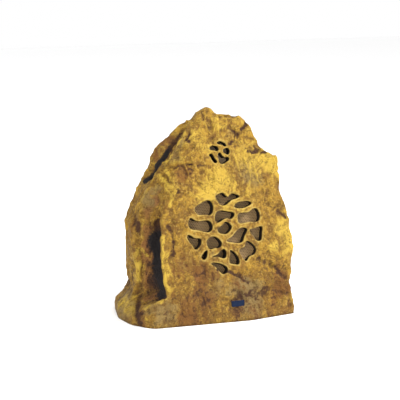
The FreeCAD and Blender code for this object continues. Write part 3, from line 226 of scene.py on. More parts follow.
def ridge_net():
    """Walks each level's nine-sided outline by even shares, then climbs between levels the same way."""
    count = len(RIDGES)
    heights = np.broadcast_to(HEIGHTS[None, :, None], (count, len(HEIGHTS), 1))
    levels = np.concatenate([RIDGES, heights], axis=2)
    rows = np.concatenate([levels, CREST[:, None], np.broadcast_to(SUMMIT, (count, 1, 3))], axis=1)
    around = np.linalg.norm(np.roll(rows, -1, 0) - rows, axis=-1)[:, :-1].sum(1)
    up = np.linalg.norm(np.diff(rows, axis=1), axis=-1).sum(0)
    side, turn = shares(around, NET_AROUND)
    net = rows[side] + (rows[(side + 1) % count] - rows[side]) * turn[:, None, None]
    step, climb = shares(up, NET_UP - 1)
    step, climb = np.append(step, len(up) - 1), np.append(climb, 1)
    net = net[:, step] + (net[:, step + 1] - net[:, step]) * climb[None, :, None]
    depth = grooves(net, CREASES)
    depth[:, 0] = 0
    depth[:, -1] = 0
    return net - grid_normals(net) * depth[..., None], (side, turn)


net, columns = ridge_net()
print("net", net.shape, net.min((0, 1)).round(1), net.max((0, 1)).round(1))

# %% [markdown]
# ## From net to skin
# A cubic B-spline is a weighted mean of four neighbours along each direction. The weights for any
# number of samples form a matrix, so the skin is (weights round) x net x (weights up). Round the rock
# the spline closes on itself; upwards its ends are clamped to the ground and the summit.

# %% Spline weights
def closed_weights(places):
    """Weights of a closed cubic B-spline at places counted in net columns: four cubics of the place in its
    cell, which add up to one."""
    cell = np.floor(places).astype(int)
    t = places - cell
    four = np.stack([(1 - t) ** 3, 3 * t ** 3 - 6 * t ** 2 + 4,
                     -3 * t ** 3 + 3 * t ** 2 + 3 * t + 1, t ** 3]) / 6
    weights = np.zeros((len(places), NET_AROUND))
    for offset in range(4):
        weights[np.arange(len(places)), (cell - 1 + offset) % NET_AROUND] += four[offset]
    return weights


def clamped_weights(places):
    """Weights of a clamped cubic B-spline at places from 0 to NET_UP - 3, by the Cox and de Boor rule."""
    knots = np.concatenate([[0] * 3, np.arange(NET_UP - 2), [NET_UP - 3] * 3]).astype(float)
    places = np.clip(places, 0, NET_UP - 3 - 1e-9)
    basis = ((knots[None, :-1] <= places[:, None]) & (places[:, None] < knots[None, 1:])).astype(float)
    for degree in range(1, 4):
        span = knots[degree:] - knots[:-degree]
        left = (places[:, None] - knots[None, :-degree]) / np.where(span > 0, span, 1)
        left = left[:, :-1] * basis[:, :-1] * (span[:-1] > 0)
        right = (knots[None, degree:] - places[:, None]) / np.where(span > 0, span, 1)
        right = right[:, 1:] * basis[:, 1:] * (span[1:] > 0)
        basis = left + right
    return basis


def skin(around, up):
    """Points of the smooth skin at net places round and up."""
    return np.einsum("ai,ijk,bj->abk", closed_weights(around), net, clamped_weights(up))


AROUND, UP = 360, 144
around_places = np.arange(AROUND) * NET_AROUND / AROUND
up_places = np.linspace(0, NET_UP - 3, UP)
rock = skin(around_places, up_places)
rock_out = grid_normals(rock)
print("skin", rock.shape, rock.min((0, 1)).round(1), rock.max((0, 1)).round(1))

# %% [markdown]
# ## Weathered relief
# Close up, the cast is lumpy, with broad dents, sharp little ridges and a gritty skin. A Displace
# modifier with a texture could give that, but numpy noise can also be asked for the height at any single
# point, which the cracks and the paint need. Value noise is random numbers on a lattice, blended smoothly
# between the corners, at several scales. The numbers come from whole-number hashing, so every run gives
# the same rock.

# %% Noise
def lattice(cell, seed):
    """A repeatable random number from -1 to 1 for each whole-number cell: its indices and the seed are
    mixed by large odd factors and shifts."""
    mixed = (cell[..., 0] * 374761393 + cell[..., 1] * 668265263 + cell[..., 2] * 2147483647 + seed * 144269)
    mixed = (mixed ^ (mixed >> 13)) * 1274126177 & 0x7FFFFFFF
    mixed = (mixed ^ (mixed >> 16)) * 668265263 & 0x7FFFFFFF
    return mixed / 0x3FFFFFFF - 1


def turned(seed):
    """A turn about a slanting axis, another for each seed, so that no two lattices lie in line: no turn,
    plus the sine times the axis's cross product, plus one less the cosine times that product twice."""
    axis = np.array([0.48, 0.60, 0.64])
    cross = np.array([[0, -axis[2], axis[1]], [axis[2], 0, -axis[0]], [-axis[1], axis[0], 0]])
    angle = 0.7 + 1.9 * seed
    return np.eye(3) + math.sin(angle) * cross + (1 - math.cos(angle)) * cross @ cross


def noise(points, scale, seed=0):
    """Smooth noise from -1 to 1 whose lumps are about scale millimetres wide: the numbers at the eight
    corners of a cell, blended by a smooth step along each axis."""
    spot = points @ turned(seed) / scale
    cell = np.floor(spot).astype(np.int64)
    t = spot - cell
    t = t * t * t * (t * (t * 6 - 15) + 10)
    total = 0
    for corner in np.ndindex(2, 2, 2):
        weight = np.prod(np.where(np.array(corner) == 1, t, 1 - t), axis=-1)
        total = total + weight * lattice(cell + np.array(corner), seed)
    return total


sample = noise(rock, 10.0)
print("noise on the skin from", sample.min().round(2), "to", sample.max().round(2))

# %% [markdown]
# ## Carved lines and relief
# Some cracks, folds and ribs have their own place on the photographed rock, so they are given as paths.
# A path's distance is measured from points that noise has shifted, so that the line wavers.

# %% Carved lines
# Reach, depth (below zero for a rib) and path.
CARVED = [
    (5, 3.0, [(-128, -12, 56), (-135, -31, 35), (-147, -58, 18), (-147, -72, 5)]),
    (4, -1.6, [(-142, -60, 27), (-130, -74, 33), (-116, -86, 40)]),
    (4, -3.2, [(-86, -13, 245), (-83, -32, 228), (-78, -47, 215)]),
    (4, -3.0, [(-65, -44, 229), (-78, -47, 215), (-83, -52, 199)]),
    (3.5, 3.0, [(-6, -80, 87), (16, -81, 83), (34, -84, 73), (49, -90, 61)]),
    (4, 3.0, [(71, -75, 98), (88, -76, 94), (106, -80, 79), (124, -86, 60)]),
    (5, 2.4, [(73, -30, 284), (88, -31, 281), (106, -33, 277)]),
    (4, 4.5, [(-67, -44, 227), (-67, -45, 222)]),
    (9, -2.4, [(103, -68, 115), (106, -68, 117)]),
    (3, 1.6, [(6, -3, 355), (8, -22, 322), (8, -26, 305)]),
    (6, 2.0, [(97, -50, 196), (118, -53, 181), (138, -57, 158)]),
    (4, 3.6, [(-128, -8, 192), (-131, -6, 170), (-129, -8, 150), (-124, -14, 110)]),
    (6, 1.3, [(-70, -22, 259), (-47, -34, 258), (-20, -39, 252)]),
    (10, 4.5, [(-96, -24, 165), (-92, -28, 129), (-92, -36, 101), (-98, -50, 74), (-104, -70, 54)]),
    (5, 2.6, [(-30, -10, 318), (-36, -20, 306)]),
    (3, 4.0, [(-38, 4, 323), (-54, 2, 303), (-72, 1, 276), (-86, 7, 253), (-95, 12, 241)]),
    (4, -1.6, [(-40, -6, 318), (-58, -9, 294), (-74, -9, 270)]),
    (3, 2.0, [(-70, -19, 262), (-57, -33, 265), (-39, -35, 266), (-16, -36, 263)]),
    (3.5, -3.2, [(-83, 5, 252), (-82, -17, 243), (-78, -38, 233), (-68, -46, 221)]),
    (3.5, -3.2, [(-75, -18, 255), (-73, -36, 242), (-67, -44, 226)]),
    (3.5, 3.2, [(-123, -1, 187), (-129, 4, 165), (-127, 6, 140)]),
    (3.5, -2.4, [(-136, -62, 29), (-128, -70, 34), (-121, -79, 37), (-111, -83, 43), (-102, -87, 48)]),
    (4.5, 3.0, [(-129, -53, 36), (-120, -59, 40), (-110, -71, 46)]),
    (3.5, -2.0, [(-135, -70, 28), (-139, -79, 16), (-139, -83, 4)]),
    (3, 2.4, [(-122, -12, 104), (-123, -13, 83), (-124, -15, 51)]),
    (3, -2.0, [(-125, -10, 123), (-119, -13, 115), (-113, -16, 108)]),
    (5, 2.4, [(76, -16, 330), (61, -22, 314), (43, -27, 298)]),
    (4, -1.8, [(-100, -62, 150), (-106, -68, 120), (-106, -76, 92), (-102, -86, 60)]),
    (5, 2.2, [(-88, -58, 168), (-80, -64, 140), (-86, -70, 118)]),
    (4, 2.2, [(60, -94, 52), (96, -93, 44), (120, -92, 36)]),
    (5, 2.4, [(44, -20, 322), (58, -24, 308), (52, -30, 292)]),
    (5, 2.6, [(-139, 20, 120), (-136, 30, 90), (-138, 24, 60)]),
    (5, 2.6, [(140, -20, 160), (146, -14, 120), (144, -24, 80)]),
    (6, 2.8, [(-30, 84, 190), (-40, 92, 140), (-20, 98, 90)]),
    (5, 2.6, [(70, 66, 220), (80, 76, 170), (96, 84, 120)]),
    (5, 2.4, [(-96, 60, 200), (-110, 66, 150), (-108, 78, 100)]),
]
print("carved lines", len(CARVED))

# %% [markdown]
# ## Height of the relief
# The rest of the relief is a sum of noises: broad swells, chips with sharp valleys, long folds and fine
# grain. The sharp valleys come from the absolute value of a noise, which has a kink where it passes zero.

# %% Relief
def shaken(points, amount, scale, seed):
    """Points shifted along all three axes by an amount times noise of a scale, with three seeds in a row."""
    return points + amount * np.stack([noise(points, scale, seed + k) for k in range(3)], axis=-1)


def wandered(points):
    """Points shifted a little, so that a given line wavers like a crack."""
    return shaken(points, 2.5, 14, 14)


def relief(points):
    """Height of the weathering at points of the skin, in millimetres: each term is a height times noise of
    a width and a seed, less the carved lines, fading at the ground and at the peak."""
    bent = shaken(points, 5, 26, 11)
    broad = 1.4 * noise(bent, 44, 1) + 1.1 * noise(bent, 22, 2)
    chips = 2.4 * np.abs(noise(bent * (1, 1, 0.75), 26, 3)) + 1.8 * np.abs(noise(bent, 12, 6)) - 1.7
    folds = 2.4 * (1 - np.abs(noise(bent * (1, 1, 0.45), 14, 7))) ** 4 - 0.7
    fine = 0.8 * noise(bent, 8, 4) + 0.6 * noise(points, 4.6, 5)
    cut = grooves(wandered(points), CARVED)
    fade = np.clip(points[..., 2] / 12, 0, 1) * np.clip((366 - points[..., 2]) / 22, 0.2, 1)
    return (broad + chips + folds + fine - cut - 0.4) * fade


rock_relief = relief(rock)
rock_relief[:, -1] = rock_relief[:, -1].mean()
carved = rock + rock_out * rock_relief[..., None]
carved[:, -1] = carved[:, -1].mean(0)
print("relief from", rock_relief.min().round(2), "to", rock_relief.max().round(2), "mm")

# %% [markdown]
# ## The leaning front and its cracks
# Both grilles are fields of cracks, cut square through the leaning front. On this plane a point has
# two numbers: across, and up the face. Each crack is a closed curve through given points. The cracks
# could be cut with Boolean modifiers, but those leave long thin triangles and sharp edges. Here the
# curves become edges of the mesh itself.

# %% Face plane
# All in millimetres. A spot is a place on the face: across, and up the face from its foot.
FOOT_Y, HEAD_Y, HEAD_Z = -102.0, -22.0, 325.0
LEAN = math.atan2(HEAD_Y - FOOT_Y, HEAD_Z)
FACE_OUT = np.array([0, -math.cos(LEAN), math.sin(LEAN)])
FACE_UP = np.array([0, math.sin(LEAN), math.cos(LEAN)])
FACE_FOOT = np.array([0, FOOT_Y, 0])
GRILLE_DEPTH = 16.0
WOOFER_SPOT, TWEETER_SPOT = (17.0, 150.0), (19.0, 292.0)
WOOFER_CRACKS = [
    [(-11, 58), (-7, 52), (0, 50), (8, 53), (15, 58), (24, 60), (31, 63), (23, 68), (14, 68), (9, 64),
     (1, 71), (-9, 70), (-14, 67)],
    [(29, 43), (38, 43), (48, 46), (54, 50), (50, 53), (37, 54), (25, 52), (20, 46)],
    [(-54, 43), (-50, 38), (-38, 37), (-27, 36), (-21, 46), (-22, 55), (-26, 60), (-35, 60), (-44, 56),
     (-55, 48)],
    [(-18, 22), (-12, 22), (-4, 26), (5, 27), (12, 26), (16, 29), (18, 34), (8, 38), (-5, 41), (-14, 40),
     (-19, 32)],
    [(24, 25), (25, 18), (38, 17), (53, 17), (64, 18), (66, 34), (63, 39), (55, 39), (48, 35), (34, 34),
     (25, 32)],
    [(-67, 16), (-54, 12), (-42, 8), (-31, 7), (-26, 12), (-26, 18), (-29, 24), (-46, 26), (-59, 30),
     (-64, 33), (-69, 23)],
    [(-14, 4), (-7, 1), (1, 1), (7, 5), (11, 12), (8, 17), (-1, 21), (-9, 15), (-17, 10)],
    [(9, -15), (20, -17), (29, -16), (36, -3), (41, 5), (34, 8), (25, 7), (18, 2), (9, -6), (-1, -12)],
    [(46, -1), (53, -11), (58, -16), (64, -17), (69, -3), (70, 7), (63, 7), (53, 5), (45, 3)],
    [(-72, -5), (-65, -14), (-60, -21), (-53, -17), (-49, -10), (-49, -5), (-60, -2), (-67, 3), (-73, 4)],
    [(-38, -18), (-33, -23), (-25, -22), (-16, -22), (-11, -15), (-14, -9), (-22, -3), (-31, -3),
     (-38, -9)],
    [(-50, -36), (-47, -40), (-39, -28), (-39, -25), (-48, -31)],
    [(24, -38), (29, -46), (34, -50), (41, -43), (50, -40), (55, -31), (51, -24), (44, -18), (37, -16),
     (32, -25), (22, -30)],
    [(-24, -37), (-16, -39), (-8, -41), (-4, -32), (-7, -26), (-14, -28), (-21, -34), (-31, -37)],
    [(4, -36), (1, -43), (1, -50), (10, -53), (18, -54), (20, -48), (18, -41), (11, -32), (4, -29)],
    [(-26, -55), (-19, -64), (-14, -68), (-5, -64), (-4, -61), (-13, -52), (-24, -48), (-34, -48)],
]
TWEETER_CRACKS = [
    [(0.5, 14), (5.5, 12.5), (10, 10), (13, 11), (12.5, 14), (7, 17.5), (1, 19.5), (-4.5, 17)],
    [(-16, 5.5), (-10, 4.5), (-6, 3), (-2, 6.5), (-3.5, 9.5), (-9.5, 12.5), (-14.5, 12), (-18.5, 8.5)],
    [(6, 1), (9.5, -2.5), (15, -4.5), (17.5, -2), (18.5, 3.5), (15.5, 7), (10, 6.5), (6, 4.5)],
    [(-18.5, -7), (-16.5, -11.5), (-13.5, -16), (-10, -18), (-7.5, -15.5), (-9.5, -11.5), (-12.5, -5.5),
     (-16.5, -1), (-21, -3.5)],
    [(-4, -12.5), (-1.5, -19), (4.5, -19.5), (10.5, -17), (15.5, -13), (15, -9.5), (8.5, -9), (3.5, -4.5),
     (-1, 0), (-5, -3.5)],
]


def to_face(points):
    """Across, up the face and height in front of it, for points in space."""
    away = points - FACE_FOOT
    return np.stack([away[..., 0], away @ FACE_UP, away @ FACE_OUT], axis=-1)


def from_face(across, up, height):
    """The point in space for a place on the leaning front and a height in front of it."""
    across, up, height = np.broadcast_arrays(across, up, height)
    on_plane = FACE_FOOT + across[..., None] * np.array([1, 0, 0]) + up[..., None] * FACE_UP
    return on_plane + height[..., None] * FACE_OUT


print("face leans by", round(math.degrees(LEAN), 1), "degrees")

# %% [markdown]
# ## Smooth closed curves
# A crack has about ten given corners. A cubic spline through them needs a second derivative at each
# corner, and on a closed curve these hang together in one ring of equations, which numpy solves at once.
# The curve is then cut into even steps, because even edges give well-shaped triangles.

# %% Crack curves
DENSE = 40


def closed_curve(corners, spacing):
    """Evenly spaced points on the closed cubic spline through corners, counter-clockwise, and its
    outward directions. The second derivatives solve one ring of equations."""
    corners = np.array(corners, float)
    following = np.roll(corners, -1, 0)
    if (corners[:, 0] * following[:, 1] - corners[:, 1] * following[:, 0]).sum() < 0:
        corners = corners[::-1]
        following = np.roll(corners, -1, 0)
    gap = np.linalg.norm(following - corners, axis=1)
    n = len(corners)
    index = np.arange(n)
    ring = np.zeros((n, n))
    ring[index, index] = 2 * (gap + np.roll(gap, 1))
    ring[index, (index + 1) % n] += gap
    ring[index, index - 1] += np.roll(gap, 1)
    slope = (following - corners) / gap[:, None]
    bend = np.linalg.solve(ring, 6 * (slope - np.roll(slope, 1, 0)))
    t = np.linspace(0, 1, DENSE, endpoint=False)[None, :, None]
    g = gap[:, None, None]
    first, second = bend[:, None], np.roll(bend, -1, 0)[:, None]
    dense = ((1 - t) * corners[:, None] + t * following[:, None]
             + g ** 2 / 6 * (((1 - t) ** 3 - (1 - t)) * first + (t ** 3 - t) * second)).reshape(-1, 2)
    step = np.linalg.norm(np.roll(dense, -1, 0) - dense, axis=1)
    length = np.concatenate([[0], np.cumsum(step)])
    closed = np.concatenate([dense, dense[:1]])
    even = np.linspace(0, length[-1], max(24, int(length[-1] / spacing)), endpoint=False)
    line = np.stack([np.interp(even, length, closed[:, k]) for k in (0, 1)], axis=1)
    way = np.roll(line, -1, 0) - np.roll(line, 1, 0)
    way /= np.linalg.norm(way, axis=1, keepdims=True)
    return line, np.stack([way[:, 1], -way[:, 0]], axis=1)


def inside(points, loop):
    """True where a point lies inside a closed loop: a ray to the right crosses it an odd number of times."""
    start, end = loop, np.roll(loop, -1, 0)
    above = (start[None, :, 1] > points[:, None, 1]) != (end[None, :, 1] > points[:, None, 1])
    run = np.where(end[:, 1] == start[:, 1], 1, end[:, 1] - start[:, 1])
    slope = ((end - start)[:, 0] / run)[None]
    cross = start[None, :, 0] + (points[:, None, 1] - start[None, :, 1]) * slope
    return (above & (points[:, None, 0] < cross)).sum(1) % 2 == 1


cracks = []
for spot, field, spacing in ((WOOFER_SPOT, WOOFER_CRACKS, 1.5), (TWEETER_SPOT, TWEETER_CRACKS, 1.0)):
    for corners in field:
        line, outward = closed_curve(corners, spacing)
        cracks.append({"line": line + spot, "out": outward})
print(len(cracks), "cracks with", sum(len(crack["line"]) for crack in cracks), "points")

# %% [markdown]
# ## Room for the lips
# Every crack has a rounded lip outside its edge. The lip may be up to 3.2 mm wide, but it must not run
# into the lip of the next crack, nor into itself in a tight bend. So each point tries a list of widths
# and takes the first one that stays clear, and the widths are evened out along the curve.

# %% Lip widths
LIP_STEPS = np.array([3.2, 2.6, 2.1, 1.6, 1.2, 0.8, 0.5])
LIP_CLEAR, LIP_OF_WEB = 0.93, 0.40
every = np.concatenate([crack["line"] for crack in cracks])
owner = np.concatenate([[k] * len(crack["line"]) for k, crack in enumerate(cracks)])
for k, crack in enumerate(cracks):
    line = crack["line"]
    web = np.linalg.norm(line[:, None] - every[owner != k][None], axis=-1).min(1)
    tips = line[None] + crack["out"][None] * LIP_STEPS[:, None, None]
    away = np.linalg.norm(tips[:, :, None] - line[None, None], axis=-1).min(2)
    free = away > LIP_CLEAR * LIP_STEPS[:, None]
    lip = np.minimum(LIP_STEPS[free.argmax(0)], LIP_OF_WEB * web)
    lip = np.min([np.roll(lip, shift) for shift in range(-3, 4)], axis=0)
    crack["lip"] = np.mean([np.roll(lip, shift) for shift in range(-2, 3)], axis=0)
narrowest = min(crack["lip"].min() for crack in cracks) / LIP_OF_WEB
print("narrowest web", round(narrowest, 1), "mm")

# %% [markdown]
# ## One mesh for the shell
# Four kinds of surface make the shell: the weathered skin, the walls of the cracks with their rounded
# lips, the foot with the rebate for the base plate, and the hollow inside. They are collected in lists
# of points and triangles that share their edges, so the result is closed. Each point also carries two
# paint values: how much it belongs to a lip, and how far it is hidden from the painter.

# %% Collecting points and triangles
points_list, faces_list, tone_list = [], [], []
total_points = 0


def add_points(points, lip=0.0, hidden=0.0):
    """Adds points in millimetres with their paint values and returns their numbers."""
    global total_points
    flat = np.asarray(points, float).reshape(-1, 3)
    points_list.append(flat)
    tones = np.broadcast_arrays(np.ravel(lip), np.ravel(hidden), np.zeros(len(flat)))[:2]
    tone_list.append(np.stack(tones, axis=1))
    numbers = np.arange(total_points, total_points + len(flat))
    total_points += len(flat)
    return numbers.reshape(np.shape(points)[:-1])


def add_quads(a, b, c, d, flip=False):
    """Two triangles for each four-sided cell of point numbers, turned over if flip is set."""
    for corners in ((a, b, c), (a, c, d)):
        triangles = np.stack(corners, axis=-1).reshape(-1, 3)
        faces_list.append(triangles[:, ::-1] if flip else triangles)


def add_strip(first, second):
    """Joins two closed rings of point numbers, the second being further along than the first."""
    add_quads(first, np.roll(first, -1), np.roll(second, -1), second)


def add_grid(numbers, keep, flip=False):
    """Triangles of a grid that closes round its first axis; keep says which cells are covered."""
    ahead = np.roll(numbers, -1, 0)
    add_quads(numbers[:, :-1][keep], ahead[:, :-1][keep], ahead[:, 1:][keep], numbers[:, 1:][keep], flip)


print("lists ready, points", total_points)

# %% [markdown]
# ## Filling a patch
# Between the edge of a patch and the holes in it lie points with no grid. A Delaunay triangulation joins
# them in the plane with the fattest triangles it can, and keeps the given edges. It also covers the holes,
# so each triangle is marked as within or beyond the edges, and only those within are kept.

# %% Filling a patch
NO_POINTS, NO_NUMBERS = np.zeros((0, 2)), np.zeros(0, int)
FILL_ROUNDS = 400


def fill_patch(rim, rim_numbers, loops, free=NO_POINTS, free_numbers=NO_NUMBERS, flip=False):
    """Triangles between a rim loop and inner loops, through free points: a Delaunay mesh in the plane.
    Triangles beside a loop know which side they are on, and the others learn it from their neighbours."""
    flat = np.concatenate([rim] + [loop for loop, numbers in loops] + [free])
    numbers = np.concatenate([rim_numbers] + [numbers for loop, numbers in loops] + [free_numbers])
    count = len(flat)
    ends, start = [], 0
    for size in [len(rim)] + [len(loop) for loop, number in loops]:
        ring = np.arange(start, start + size)
        ahead = np.roll(ring, -1)
        ends.append(np.stack([ahead, ring] if start else [ring, ahead], 1))
        start += size
    ends = np.concatenate(ends)
    result = delaunay_2d_cdt([tuple(p) for p in flat.tolist()], ends.tolist(), [], 0, 1e-7, True)
    if len(result[0]) != count:
        raise RuntimeError("patch loops cross each other: %d points became %d" % (count, len(result[0])))
    origin = np.array([ids[0] for ids in result[3]])
    triangles = origin[np.array(result[2])]
    code = (triangles * count + np.roll(triangles, -1, 1)).ravel()
    back = (np.roll(triangles, -1, 1) * count + triangles).ravel()
    within = np.isin(code, ends[:, 0] * count + ends[:, 1])
    beyond = np.isin(code, ends[:, 1] * count + ends[:, 0])
    order = np.argsort(code)
    spot = np.minimum(np.searchsorted(code[order], back), len(code) - 1)
    joined = (code[order][spot] == back) & ~within & ~beyond
    beside = np.where(joined, order[spot] // 3, np.arange(len(code)) // 3).reshape(-1, 3)
    state = within.reshape(-1, 3).any(1) * 1 - beyond.reshape(-1, 3).any(1) * 1
    for spread in range(FILL_ROUNDS):
        state = np.where(state == 0, np.sign(state[beside].sum(1)), state)
    triangles = numbers[triangles[state > 0]]
    faces_list.append(triangles[:, ::-1] if flip else triangles)
    print("patch of", len(triangles), "triangles round", len(loops), "holes")


# %% [markdown]
# ## Skin with its front patch
# The regular grid is left out over the front and round the cable recess at the back. Those places get
# finer points, joined to the grid's own edge points, with the cracks and the recess as holes.

# %% Grid and its front opening
FRONT_SIDES, EDGE_COLUMNS = (7, 8), 9
FRONT_LOW, FRONT_HIGH, FRONT_STEP = 9, 322, 1.75


def columns_between(first, last, margin):
    """Grid columns over a run of the rock's nine sides, a number of columns in from each end."""
    ends = np.cumsum(np.bincount(columns[0], minlength=len(RIDGES))) * AROUND / NET_AROUND
    return int(ends[first - 1] + margin), int(ends[last] - margin)


def rectangle_loop(left, right, low, high):
    """Grid places round the edge of a block of cells, counter-clockwise seen from outside."""
    across = np.concatenate([np.arange(left, right), np.full(high - low, right),
                             np.arange(right, left, -1), np.full(high - low, left)])
    up = np.concatenate([np.full(right - left, low), np.arange(low, high),
                         np.full(right - left, high), np.arange(high, low, -1)])
    return across, up


def fine_patch(left, right, low, high, step):
    """Finer points of the skin inside a block of cells, a step in from its edge, and their outward
    directions: cross products of steps both ways."""
    width = np.linalg.norm(rock[right, low] - rock[left, low])
    height = np.linalg.norm(rock[left, high] - rock[left, low])
    a = np.linspace(around_places[left], around_places[right], int(width / step) + 1)[1:-1]
    b = np.linspace(up_places[low], up_places[high], int(height / step) + 1)[1:-1]
    patch = skin(a, b)
    out = np.cross(np.gradient(patch, axis=0), np.gradient(patch, axis=1))
    out /= np.linalg.norm(out, axis=-1, keepdims=True)
    return patch.reshape(-1, 3), out.reshape(-1, 3)


skin_numbers = add_points(carved[:, :-1])
peak_number = add_points(carved[:1, -1])[0]
left_edge, right_edge = columns_between(*FRONT_SIDES, EDGE_COLUMNS)
front_column = right_edge - 30
low_edge = int(np.searchsorted(rock[front_column, :, 2], FRONT_LOW))
high_edge = int(np.searchsorted(rock[front_column, :, 2], FRONT_HIGH))
kept = np.ones((AROUND, UP - 2), bool)
kept[left_edge:right_edge, low_edge:high_edge] = False
front, front_out = fine_patch(left_edge, right_edge, low_edge, high_edge, FRONT_STEP)
front_flat = to_face(front)
front_lean = np.stack([front_out[:, 0], front_out @ FACE_UP, front_out @ FACE_OUT], -1)
print("front opening from column", left_edge, "to", right_edge, "with", len(front), "fine points")

# %% [markdown]
# ## Relief on the front
# Near the cracks the relief is calmer, so that the lips stay even. It is pressed flat behind the badge,
# and it isn't cut deep over the tips of the woofer's four screws. Points that lie on a crack or its
# lip are left out, because the crack's own rings go there.

# %% Front patch
# LIP_PAINT is how pale the skin next to a crack is painted, partly as painted highlight on the lip.
CALM_REACH, RING_GAP, LIP_PAINT = 12, 0.7, 0.85
BADGE_SPOT, BADGE_HALF, BADGE_SINK = np.array([22.0, 29.0]), np.array([11.0, 4.0]), 2.0
SCREW_STEP, SCREW_COVER = 54.8, 1.8


def near_box(places, low, high):
    """True for the places inside an upright box in the plane."""
    return ((places >= low) & (places <= high)).all(1)


calm = np.ones(len(front_flat))
clear = np.ones(len(front_flat), bool)
for crack in cracks:
    line = crack["line"]
    near = near_box(front_flat[:, :2], line.min(0) - CALM_REACH, line.max(0) + CALM_REACH)
    reach = np.linalg.norm(front_flat[near, None, :2] - line[None], axis=-1).min(1)
    calm[near] = np.minimum(calm[near], np.clip(reach / CALM_REACH, 0, 1))
    ring = line + crack["out"] * (crack["lip"] + RING_GAP)[:, None]
    near = near_box(front_flat[:, :2], ring.min(0), ring.max(0))
    clear[near] &= ~inside(front_flat[near, :2], ring)
on_badge = (np.abs(front_flat[:, :2] - BADGE_SPOT) < BADGE_HALF).all(1)
front_relief = np.where(on_badge, -BADGE_SINK, relief(front) * (0.45 + 0.55 * calm))
screw_spots = np.array(WOOFER_SPOT) + SCREW_STEP * np.array([(1, 1), (-1, 1), (-1, -1), (1, -1)])
screw_away = np.linalg.norm(front_flat[:, None, :2] - screw_spots[None], axis=-1).min(1)
front_relief = np.maximum(front_relief, -SCREW_COVER - 0.4 * np.clip(screw_away - 5, 0, 20))
front_carved = front + front_out * front_relief[:, None]
front_numbers = add_points(front_carved[clear], (1 - calm[clear]) * LIP_PAINT)
print("front patch", int(clear.sum()), "points")

# %% [markdown]
# ## Crack lips and walls
# The edge of each crack is rounded by the casting. A short profile is carried along the crack's curve:
# it starts on the skin, rolls over the lip and goes straight down to the flat baffle.

# %% Crack walls
# The profile's rings: the share of the lip's width outside the edge, and the height over the skin. Then
# come the shares of the way down to the baffle, and for all eight rings the two paint values.
LIP = [(1.0, 0.0), (0.55, -0.25), (0.22, -0.9), (0.04, -2.0), (0.0, -3.6)]
WALL_SHARES = (0.5, 0.8, 1.0)
# The lip value paints the rounded lips pale, partly as painted highlight where light catches them.
LIP_TONES = (0.5, 1.0, 0.9, 0.2, 0.0, 0.0, 0.0, 0.0)
HIDDEN_TONES = (0, 0, 0, 0.22, 0.6, 0.8, 0.8, 0.8)
LIP_RELIEF = 0.45


def surface_height(places, fine, lean):
    """Height of a smooth surface at places on a plane: the tangent plane of the nearest fine point. The
    fine points and their outward directions have two numbers in the plane and one along the height."""
    heights = []
    for part in np.array_split(places, max(1, len(places) // 200)):
        nearest = ((part[:, None] - fine[None, :, :2]) ** 2).sum(-1).argmin(1)
        step = part - fine[nearest, :2]
        slope = lean[nearest]
        fall = (slope[:, 0] * step[:, 0] + slope[:, 1] * step[:, 1]) / slope[:, 2]
        heights.append(fine[nearest, 2] - fall)
    return np.concatenate(heights)


crack_loops, baffle_loops = [], []
for crack in cracks:
    line, outward, lip = crack["line"], crack["out"], crack["lip"]
    top = surface_height(line + outward * lip[:, None], front_flat, front_lean)
    top = top + LIP_RELIEF * relief(from_face(line[:, 0], line[:, 1], top))
    wall_top = top + LIP[-1][1]
    rings = [(line + outward * (lip * share)[:, None], top + drop) for share, drop in LIP]
    rings += [(line, wall_top + (-GRILLE_DEPTH - wall_top) * share) for share in WALL_SHARES]
    previous = None
    for (place, height), lip_tone, hidden_tone in zip(rings, LIP_TONES, HIDDEN_TONES):
        numbers = add_points(from_face(place[:, 0], place[:, 1], height), lip_tone, hidden_tone)
        if previous is None:
            crack_loops.append((place, numbers))
        else:
            add_strip(previous, numbers)
        previous = numbers
    baffle_loops.append((line, previous))
rim_across, rim_up = rectangle_loop(left_edge, right_edge, low_edge, high_edge)
rim_flat = to_face(rock[rim_across, rim_up])[:, :2]
fill_patch(rim_flat, skin_numbers[rim_across, rim_up], crack_loops, front_flat[clear, :2], front_numbers)
print("triangles so far", sum(len(part) for part in faces_list))

# %% [markdown]
# ## Cable recess
# Low at the back a round recess takes the cable gland. Its profile goes from the skin to the recess
# floor, through the wall and out to the pad on the inside, and is turned about the gland's axis.

# %% Recess
GLAND_X, GLAND_Z, GLAND_REACH = 20.0, 44.0, 14.0
FLOOR_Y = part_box("gland_body")[1][1] * 1000 - GLAND_REACH - SHIFT[1]
PAD_Y = FLOOR_Y - 7.0
MOUTH, WELL, BORE, PAD = 22.0, 20.0, 8.1, 27.0
BACK_STEP, MOUTH_CLEAR = 2.4, 23.2
# The opening in the skin: x at its two sides, lowest and highest z, and the least y of the back.
BACK_SIDES, BACK_HEIGHTS, BACK_Y = (58, -18), (12, 78), 60
turn = np.linspace(0, 2 * math.pi, 72, endpoint=False)
backwards = np.arange(len(turn))[::-1]


def back_block(grid, row, x_sides, z_ends, least_y):
    """The block of a closed grid between two x and two z at the back: in one row the columns whose x are
    nearest, and in the column half way between them the rows at the two heights."""
    front_penalty = 1e3 * (grid[:, row, 1] < least_y)
    left, right = (int(np.argmin(np.abs(grid[:, row, 0] - x) + front_penalty)) for x in x_sides)
    low, high = (int(np.searchsorted(grid[(left + right) // 2, :, 2], z)) for z in z_ends)
    return left, right, low, high


def to_back(points):
    """Left and up for points seen from behind, as the plane of the back patch."""
    return np.stack([-points[..., 0], points[..., 2]], axis=-1)


def recess_ring(radius, depth_y):
    """A ring about the gland's axis at one radius and one y."""
    x = GLAND_X + radius * np.cos(turn)
    z = GLAND_Z + radius * np.sin(turn)
    return np.stack([x, np.broadcast_to(depth_y, x.shape), z], axis=1)


